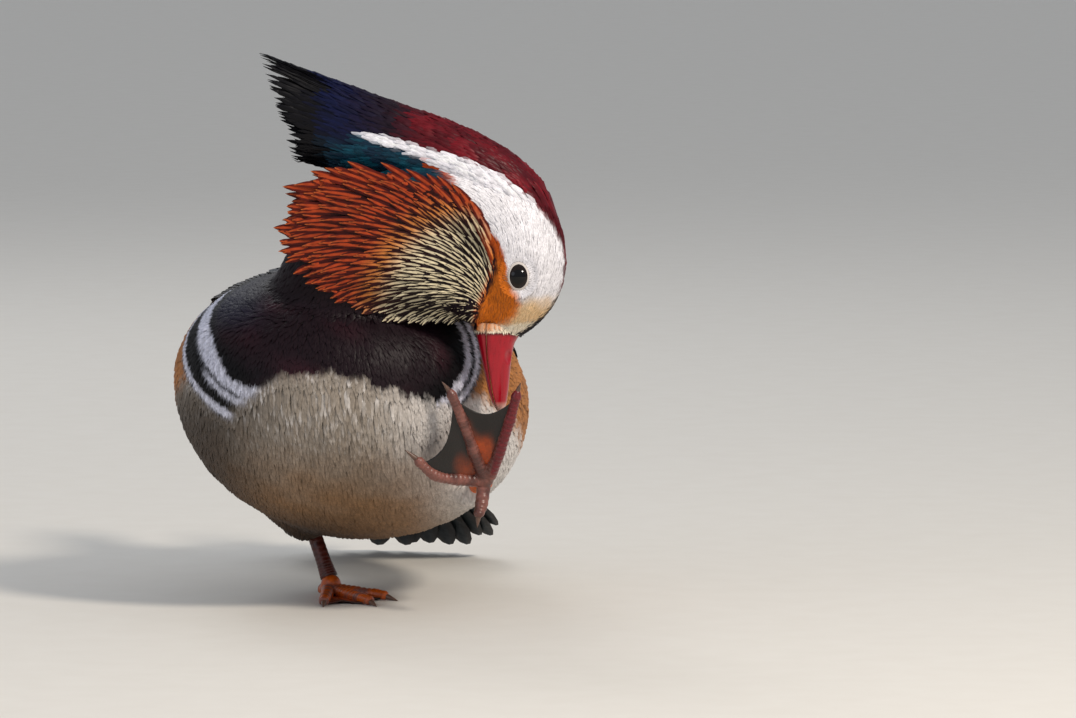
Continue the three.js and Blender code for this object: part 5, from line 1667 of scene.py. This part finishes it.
# %% Feathers round the eye
def eye_fringe(side, label, centre):
    draw = np.random.default_rng(63 if side == 1 else 64)
    places = []
    for row in range(6):
        wide, tall = 4.0 + 0.5 * row, 5.2 + 0.42 * row
        turn = np.arange(0, 2 * math.pi, 0.62 / wide) + draw.uniform(0, 0.1)
        places.append(np.stack([np.cos(turn) * wide, np.sin(turn) * tall], 1))
    flat = np.concatenate(places)
    flat += draw.normal(0, 0.08, flat.shape)
    heading = unit(unit(flat) * 1.5 + np.array([0.0, 1.0]))
    long = draw.uniform(1.3, 1.8, (len(flat), 1))
    rings = []
    for t, half in ((0.0, 0.24), (0.4, 0.34), (0.75, 0.24), (1.0, 0.0)):
        at = flat + heading * long * t
        away = np.linalg.norm(at, axis=1)
        flange = 2.3 + 0.9 * np.clip((6.3 - away) / 1.9, 0, 1) * (at[:, 0] / away) ** 2
        lift = np.maximum(np.sqrt(np.clip(5.5**2 - away**2, 0, None)), flange) - 0.05 + 0.42 * t**0.7
        middle = centre + np.stack([at[:, 0], -side * lift, at[:, 1]], 1)
        b = np.stack([heading[:, 1], np.zeros(len(flat)), -heading[:, 0]], 1) * half
        rings.append(np.stack([middle - b, middle - np.array([0, side * 0.1, 0]), middle + b], 1))
    tips = rings.pop()[:, 1]
    rings = np.stack(rings, 1)
    hue = np.stack([head_hue(at, 3) for at in (rings[:, 0, 1], rings[:, 1, 1], rings[:, 2, 1], tips)], 1)
    gain = draw.uniform(0.93, 1.05, len(flat))[:, None, None] * [[[0.8], [0.95], [1], [1]]]
    hue = np.clip(hue * gain, 0, 1)
    fringe = vane_mesh(f"eye_fringe_{label}", rings, tips, ACROSS, hue, hue, head_unwrap(rings[:, 0, 1]))
    outward(fringe)
    settle(fringe, SILKY_PLUMAGE, "face_plumage")


eye_fringe(1, "right", EYE_CENTRES[1])
eye_fringe(-1, "left", EYE_CENTRES[-1])

# %% [markdown]
# ## Legs and feet
# A duck's shank and toes are covered with horny scutes, small plates that cross the toe one behind the
# other. They are raised in the mesh here: the tube's radius dips a little at each seam, about every 1.5 mm,
# and swells at the joints. The left foot is held up with its sole towards the camera.

# %% Lines of toes and shanks
FOOT_JOINT = np.array([-7.0, 22.0, 7.5])


def floor_toe(heading, length, start=4):
    a = math.radians(heading)
    ahead = np.array([math.sin(a), -math.cos(a), 0])
    at = lambda out, z: np.array([FOOT_JOINT[0], FOOT_JOINT[1], z]) + ahead * out
    run = length - start
    middle = [at(start + run * 0.32, 2.2), at(start + run * 0.68, 2.0)] if length > 20 else []
    return np.array([at(start - 1, 2.6), *middle, at(length - 4.5, 1.7), at(length, 0.8)])


SHANKS = {
    "right": np.array([(-19.5, 33, 42), (-7, 22, 7.5)]),
    "left": np.array([(48, -17, 46), (54.5, -54, 53)]),
}
TOES = {
    "right": {
        "inner": floor_toe(57, 31),
        "middle": floor_toe(28, 40),
        "outer": floor_toe(-2, 37),
        "hind": floor_toe(196, 13, 1),
    },
    "left": {
        "inner": np.array([(53, -56.5, 54), (44, -63, 55), (36, -68, 57), (30, -71, 62.5), (26.5, -72, 66)]),
        "middle": np.array([(54.5, -58, 56), (50.5, -66, 66.5), (46.5, -73, 79), (42.5, -77, 88.5),
                            (40.2, -78, 92.5)]),
        "outer": np.array([(56.5, -57.5, 55.5), (60.5, -66, 66), (64.5, -73, 78.5), (67, -77, 88),
                           (68, -78, 92)]),
        "hind": np.array([(54.6, -55.6, 52), (53.6, -57.5, 44.5), (52.6, -59, 41), (52, -59.8, 37.6)]),
    },
}


for label, toes in TOES.items():
    lengths = [float(np.linalg.norm(np.diff(toe, axis=0), axis=1).sum().round(1)) for toe in toes.values()]
    print("toes of the", label, "foot in mm:", dict(zip(toes, lengths)))

# %% [markdown]
# A toe is a tube along its line. Its radius rises over each scute and drops at the seam behind it, more on
# top and below than at the sides, as a toe's plates wrap it. A claw is a tube that bends down and thins.

# %% Scutes and claws as rings
def tube_along(line, radius, around, squash=1.0, up=(0, 0, 1)):
    """Rings round a line of points; radius one number for each point or for each point and angle."""
    n = len(line)
    ahead = unit(np.gradient(line, axis=0))
    side = unit(np.cross(ahead, np.tile(np.array(up, float), (n, 1))))
    over = np.cross(side, ahead)
    angle = np.linspace(0, 2 * math.pi, around + 1)[:-1]
    radius = np.asarray(radius)
    radius = radius[:, None] * np.ones(around) if radius.ndim == 1 else radius
    return (line[:, None] + side[:, None] * (radius * np.cos(angle))[..., None]
            + over[:, None] * (radius * squash * np.sin(angle))[..., None])


SCUTE_PITCH = 1.5


def scuted(line_points, sizes, pitch, depth, around=20, up=(0, 0, 1), swell=0.0):
    """A toe or shank with raised scutes: each plate is highest just before the seam that ends it."""
    length = np.linalg.norm(np.diff(line_points, axis=0), axis=1).sum()
    n = max(24, int(length / 0.22))
    t = np.linspace(0, 1, n)
    line = spline(line_points, t)
    base = np.interp(t, np.linspace(0, 1, len(sizes)), sizes)
    phase = (t * length / pitch) % 1
    plate = np.where(phase < 0.82, phase / 0.82, (1 - phase) / 0.18)
    joints = np.linspace(0, 1, len(line_points))[1:-1]
    bump = sum(np.exp(-(((t - j) * length / 1.8) ** 2)) for j in joints) if swell else 0
    angle = np.linspace(0, 2 * math.pi, around + 1)[:-1]
    facing = 0.55 + 0.45 * np.abs(np.sin(angle))
    radius = (base + swell * bump)[:, None] + (depth * (plate - 0.5))[:, None] * facing[None]
    return tube_along(line, radius, around, up=up)


def claw_rings(toe, around=14):
    start, end = toe[-2], toe[-1]
    way = end - start
    drop = unit(np.cross(np.cross(way, [0, 0, 1.0]), way)) * -1
    t = np.linspace(-0.3, 1.42, 14)
    line = start + way * t[:, None] + drop * (0.5 * np.clip(t, 0, 2) ** 2)[:, None] * 0.6
    radius = 1.2 * np.clip(1 - (np.clip(t, 0, None) / 1.46) ** 1.6, 0.05, 1)
    line[:, 2] = np.maximum(line[:, 2], radius + 0.05)
    return tube_along(line, radius, around)


print("a toe 40 mm long has", int(40 / SCUTE_PITCH), "scutes")

# %% [markdown]
# Leg skin takes its colour from the points, since a drake's foot goes from orange to red to dark brown on
# the same toe. Cells of a Voronoi pattern give the grain of small scales between the scutes.

# %% Leg skin, web skin and claw horn
def skin_of_leg(name, rough):
    """Scaly leg skin: colour by the point attribute, darker in the seams, with a low waxy shine."""
    material, tree, shader = new_material(name)
    hue = node(tree, "ShaderNodeAttribute", attribute_name="hue")
    place = node(tree, "ShaderNodeTexCoord")
    cells = node(tree, "ShaderNodeTexVoronoi", [(place.outputs[3], 0)], in_2=1500.0)
    cloud = node(tree, "ShaderNodeTexNoise", [(place.outputs[3], 0)], in_2=500.0, in_3=4.0)
    dim = node(tree, "ShaderNodeMapRange", [(cloud.outputs[0], 0)], in_1=0.3, in_2=0.7, in_3=0.75, in_4=1.2)
    grain = node(tree, "ShaderNodeMapRange", [(cells.outputs[0], 0)], in_2=0.6, in_3=1.05, in_4=0.85)
    both = node(tree, "ShaderNodeMath", [(dim.outputs[0], 0), (grain.outputs[0], 1)], operation="MULTIPLY")
    shade = node(tree, "ShaderNodeVectorMath", [(hue.outputs[0], 0), (both.outputs[0], 3)], operation="SCALE")
    bump = node(tree, "ShaderNodeBump", [(cells.outputs[0], "Height")], in_0=0.4, in_1=0.00015)
    rough = node(tree, "ShaderNodeMapRange", [(cloud.outputs[0], 0)], in_1=0.3, in_2=0.7,
                 in_3=rough - 0.08, in_4=rough + 0.1)
    dress(tree, shader, {
        "Base Color": shade.outputs[0], "Roughness": rough.outputs[0], "Normal": bump.outputs[0],
        "Subsurface Weight": 0.08, "Subsurface Scale": 0.002,
    })
    return material


# Scutes are thin horn over skin, waxy when alive; webs are bare leathery skin, darker and duller.
SCUTES = skin_of_leg("scaly_leg_skin", 0.36)
WEB_SKIN = skin_of_leg("leathery_web_skin", 0.42)
CLAW_HORN = two_tone("dark_claw_horn", 700.0, 3.0, "#2a1d18", "#7a5a4a", 0.32)

PINK, RED_TOE, BROWN_TOE = colour("#835147"), colour("#6b0d18"), colour("#5c3630")
ORANGE_LEG, RED_LEG = colour("#dc620c"), colour("#561f14")
WEB_DARK, WEB_ORANGE = colour("#150e0b"), colour("#b0460a")
print("leg materials:", SCUTES.name, WEB_SKIN.name, CLAW_HORN.name)

# %% [markdown]
# The four toes and the joint are fused into one skin, so that no seam shows where they meet. Each web is a
# thin sheet between two toes, warm near ankle and middle toe and dark further out. Claws are separate.

# %% Feet, webs and claws
def merged(name, ring_sets):
    """Closed tubes joined by a voxel remesh into one foot skin."""
    work = bmesh.new()
    for part in [tube_mesh("part", rings) for rings in ring_sets]:
        work.from_mesh(part.data)
        bpy.data.objects.remove(part)
    return fused(name, work, 0.00034, 0.4, 2)


def web_rings(one, other, normal):
    """The skin between two toes: a sheet, 0.9 mm thick at the ankle and 0.5 mm at its hollow front edge."""
    steps, along = 19, 26
    u = np.linspace(0, 1, steps)
    reach = 0.97 * (1 - 0.24 * np.sin(np.pi * u) ** 0.8)
    rows = []
    for t in np.linspace(0, 1, along):
        a, b = spline(one[:-1], reach * t), spline(other[:-1], reach * t)
        row = a * (1 - u)[:, None] + b * u[:, None]
        fold = 0.35 * np.sin(u * 9 + 3 * t) * np.sin(np.pi * u) * t
        rows.append(row + normal * fold[:, None])
    rows = np.array(rows)
    thick = (0.45 - 0.2 * np.linspace(0, 1, along))[:, None, None] * normal
    return np.concatenate([rows + thick, (rows - thick)[:, ::-1]], axis=1)


for label, toes in TOES.items():
    sole = np.array([0, 0, 1.0]) if label == "right" else unit(np.array([0.1, -0.96, 0.25]))
    up = (0, 0, 1) if label == "right" else tuple(sole)
    sets = []
    for toe_name, toe in toes.items():
        end = toe[-2] + unit(toe[-1] - toe[-2]) * 1.2
        line = np.vstack([toe[:-1], end])
        sizes = [2.8] + list(np.interp(np.linspace(0.3, 1, len(line) - 2), [0, 1], [2.45, 1.75])) + [1.2]
        rings = scuted(line, sizes, SCUTE_PITCH, 0.42, up=up, swell=0.28)
        if label == "right":
            rings[..., 2] = np.maximum(rings[..., 2], 0.3)
        sets.append(rings)
    heel = SHANKS[label][1]
    joint = toes["middle"][0] * 0.55 + heel * 0.45
    sets.append(ball_rings(joint, 4.0, 20, 24))
    foot = merged(f"foot_{label}_toes", sets)
    p, normal = mesh_arrays(foot.data)
    if label == "right":
        p[:, 2] = np.maximum(p[:, 2], 0.0)
        foot.data.vertices.foreach_set("co", (p * MM).astype(np.float32).ravel())
        foot.data.update()
    mood = ripple(p, 9, 81)
    hue = tint(PINK, BROWN_TOE, soft(-0.3, 0.8, mood))
    if label == "left":
        outer = side_of(p[:, [0, 2]], [(56, 52), (58, 62), (63, 80), (66, 92)])
        hue = tint(hue, RED_TOE, soft(0.4, -0.6, outer) * soft(54, 58, p[:, 2]))
        hue = tint(hue, ORANGE_LEG, soft(52.5, 48, p[:, 2]) * soft(-57, -55, p[:, 1]))
    else:
        hue = tint(ORANGE_LEG * 0.8, PINK, soft(-0.5, 0.8, mood))
    paint(foot, hue=hue)
    settle(foot, SCUTES, "leg_skin", f"foot_{label}")
    for a, b in (("inner", "middle"), ("middle", "outer")):
        one, other = toes[a].copy(), toes[b].copy()
        if label == "right":
            one[:, 2] = other[:, 2] = 0.9
        rings = web_rings(one, other, sole)
        if label == "right":
            rings[..., 2] = np.maximum(rings[..., 2], 0.05)
        web = tube_mesh(f"web_{label}_{a}", rings, sheet=True)
        q, _ = mesh_arrays(web.data)
        ankle = np.linalg.norm(q - toes["middle"][0], axis=1)
        beside = side_of(q[:, [0, 2]], toes["middle"][:, [0, 2]])
        warm = soft(34, 14, ankle + 5 * ripple(q, 9, 83) + 0.9 * np.abs(beside))
        if a == "inner":
            warm = soft(16, 8, ankle + 3 * ripple(q, 9, 83)) * 0.5
        hue = tint(WEB_DARK, WEB_ORANGE, warm)
        paint(web, hue=hue)
        settle(web, WEB_SKIN, "leg_skin")
    for toe_name, toe in toes.items():
        claw = tube_mesh(f"claw_{label}_{toe_name}_horn", claw_rings(toe))
        settle(claw, CLAW_HORN, "claw_horn", f"claw_{label}_{toe_name}")

# %% [markdown]
# ## Scutes by Geometry Nodes
# The shank's front carries a row of larger plates. A small node tree makes them: it resamples the shank's
# line at the plates' spacing, sets a curved plate on each point, turned along the line and a little uneven,
# and realizes the plates, because the export drops instances. The group's inputs carry the measures.

# %% One plate and the node tree
def plate_mesh():
    """One curved plate, 1 unit long and wide, that bends round a shank of radius 1."""
    angle = np.linspace(-1.15, 1.15, 9)
    rows = []
    for y, lift_by in ((-0.5, 0.0), (-0.3, 0.10), (0.2, 0.13), (0.5, 0.02)):
        r = 1.0 + lift_by * np.cos(angle / 1.15 * math.pi / 2) ** 0.5
        rows.append(np.stack([r * np.cos(angle), r * np.sin(angle), np.full(9, y)], 1))
    arc = np.stack([0.9 * np.cos(angle), 0.9 * np.sin(angle), 0 * angle], 1)
    inner = [arc + row * [0, 0, 1] for row in rows]
    rings = np.array([np.concatenate([a, b[::-1]]) for a, b in zip(rows, inner)])
    return tube_mesh("one_plate", rings, sheet=True)


def plate_tree(plate):
    tree = bpy.data.node_groups.new("plates_along_a_shank", "GeometryNodeTree")
    face = tree.interface
    face.new_socket("Geometry", in_out="INPUT", socket_type="NodeSocketGeometry")
    ids = {}
    for name, kind, value in (("Spacing", "NodeSocketFloat", 0.0021), ("Width", "NodeSocketFloat", 0.0033),
                              ("Length", "NodeSocketFloat", 0.0024), ("Seed", "NodeSocketInt", 7)):
        socket = face.new_socket(name, in_out="INPUT", socket_type=kind)
        socket.default_value = value
        ids[name] = socket.identifier
    material = face.new_socket("Material", in_out="INPUT", socket_type="NodeSocketMaterial")
    ids["Material"] = material.identifier
    face.new_socket("Geometry", in_out="OUTPUT", socket_type="NodeSocketGeometry")
    entry = node(tree, "NodeGroupInput")
    leave = node(tree, "NodeGroupOutput")
    line = node(tree, "GeometryNodeMeshToCurve", [(entry.outputs["Geometry"], 0)])
    spaced = node(tree, "GeometryNodeCurveToPoints", mode="LENGTH",
                  links=[(line.outputs[0], 0), (entry.outputs["Spacing"], "Length")])
    source = node(tree, "GeometryNodeObjectInfo")
    source.inputs["Object"].default_value = plate
    uneven = node(tree, "FunctionNodeRandomValue", data_type="FLOAT", in_2=0.9, in_3=1.08,
                  links=[(entry.outputs["Seed"], "Seed")])
    size = node(tree, "ShaderNodeCombineXYZ", [(entry.outputs["Width"], 0), (entry.outputs["Width"], 1),
                                               (entry.outputs["Length"], 2)])
    scaled = node(tree, "ShaderNodeVectorMath", operation="SCALE",
                  links=[(size.outputs[0], 0), (uneven.outputs[1], 3)])
    put = node(tree, "GeometryNodeInstanceOnPoints",
               [(spaced.outputs["Points"], "Points"), (source.outputs["Geometry"], "Instance"),
                (spaced.outputs["Rotation"], "Rotation"), (scaled.outputs[0], "Scale")])
    real = node(tree, "GeometryNodeRealizeInstances", [(put.outputs[0], 0)])
    dressed = node(tree, "GeometryNodeSetMaterial",
                   [(real.outputs[0], 0), (entry.outputs["Material"], "Material")])
    tree.links.new(dressed.outputs[0], leave.inputs[0])
    return tree, ids


PLATE = plate_mesh()
PLATE_TREE, PLATE_IDS = plate_tree(PLATE)
print("the plate tree has", len(PLATE_TREE.nodes), "nodes")

# %% [markdown]
# Each shank is a scuted tube, thick at both joints. A line of points down its middle is what the node tree
# works on, and the result is made the object's own mesh, so that it can be painted like the rest.

# %% Shanks with a row of plates
for label, (ankle, heel) in SHANKS.items():
    line = np.array([ankle + (heel - ankle) * t for t in (-0.1, 0, 0.14, 0.4, 0.8, 1.0)])
    up = (0, 1, 0) if label == "right" else (0, 0, 1)
    rings = scuted(line, [3.0, 4.1, 3.3, 2.8, 2.95, 3.5], 1.3, 0.2, up=up)
    shank = tube_mesh(f"shank_{label}", rings)
    p, _ = mesh_arrays(shank.data)
    base = RED_LEG if label == "right" else ORANGE_LEG
    paint(shank, hue=tint(base, base * 0.6, soft(-0.2, 0.9, ripple(p, 7, 85))))
    settle(shank, SCUTES, "leg_skin", f"tarsus_{label}")
    path = np.array([ankle + (heel - ankle) * t for t in np.linspace(0.1, 0.93, 12)]) * MM
    guide = bpy.data.meshes.new("guide")
    guide.from_pydata(path.tolist(), [(i, i + 1) for i in range(11)], [])
    plates = bpy.data.objects.new(f"shank_plates_{label}", guide)
    bpy.context.scene.collection.objects.link(plates)
    nodes = plates.modifiers.new("plates", "NODES")
    nodes.node_group = PLATE_TREE
    seed = 7 if label == "right" else 9
    measures = {"Spacing": 0.0021, "Width": 0.0030, "Length": 0.0023, "Seed": seed, "Material": SCUTES}
    for name, value in measures.items():
        nodes[PLATE_IDS[name]] = value
    made = applied(plates)
    q, _ = mesh_arrays(made)
    paint(plates, hue=np.tile(base, (len(q), 1)))
    settle(plates, SCUTES, "leg_skin")
bpy.data.objects.remove(PLATE)

# %% [markdown]
# ## Floor and light
# A museum picture: a wide pale floor, a soft key light from the upper right as in the photo, a weaker fill
# from the left, one from behind that draws the outline of crest and back, and a low pale world.

# %% Floor, lights and world
HALF_FLOOR = 16000.0
corners = np.array([(-1, -1, 0), (1, -1, 0), (1, 1, 0), (-1, 1, 0)]) * HALF_FLOOR
floor = mesh_object("studio_floor", corners, [0, 1, 2, 3], [4])
floor.data.materials.append(two_tone("pale_studio_paper", 60.0, 4.0, "#dcd8d0", "#e2dfd8", 0.8))
floor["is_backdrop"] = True


def area_light(name, place, power, size, tint):
    data = bpy.data.lights.new(name, "AREA")
    data.shape = "DISK"
    data.size = size
    data.energy = power
    data.color = colour(tint)
    lamp = bpy.data.objects.new(name, data)
    lamp.location = place
    way = Vector((0.0, 0.0, 0.1)) - Vector(place)
    lamp.rotation_euler = way.to_track_quat("-Z", "Y").to_euler()
    bpy.context.scene.collection.objects.link(lamp)


area_light("key", (0.95, -1.1, 1.2), 23, 0.3, "#fff4e6")
area_light("fill", (-1.2, -1.2, 0.7), 2.5, 0.9, "#e8eeff")
area_light("back", (-0.5, 1.3, 1.3), 5, 0.8, "#ffffff")
world = bpy.data.worlds.new("pale_room")
world.use_nodes = True
world.node_tree.nodes["Background"].inputs[0].default_value = (*colour("#dfe3ea"), 1)
world.node_tree.nodes["Background"].inputs[1].default_value = 0.6
bpy.context.scene.world = world
print("lights:", sorted(light.name for light in bpy.data.lights))

box_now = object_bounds()
plain_box = lambda box: [[float(v) for v in corner] for corner in box]
{"cad": plain_box(CAD_BOX), "visual": plain_box(box_now)}
print("pieces", len(PIECES), "triangles in all", sum(PIECES.values()))
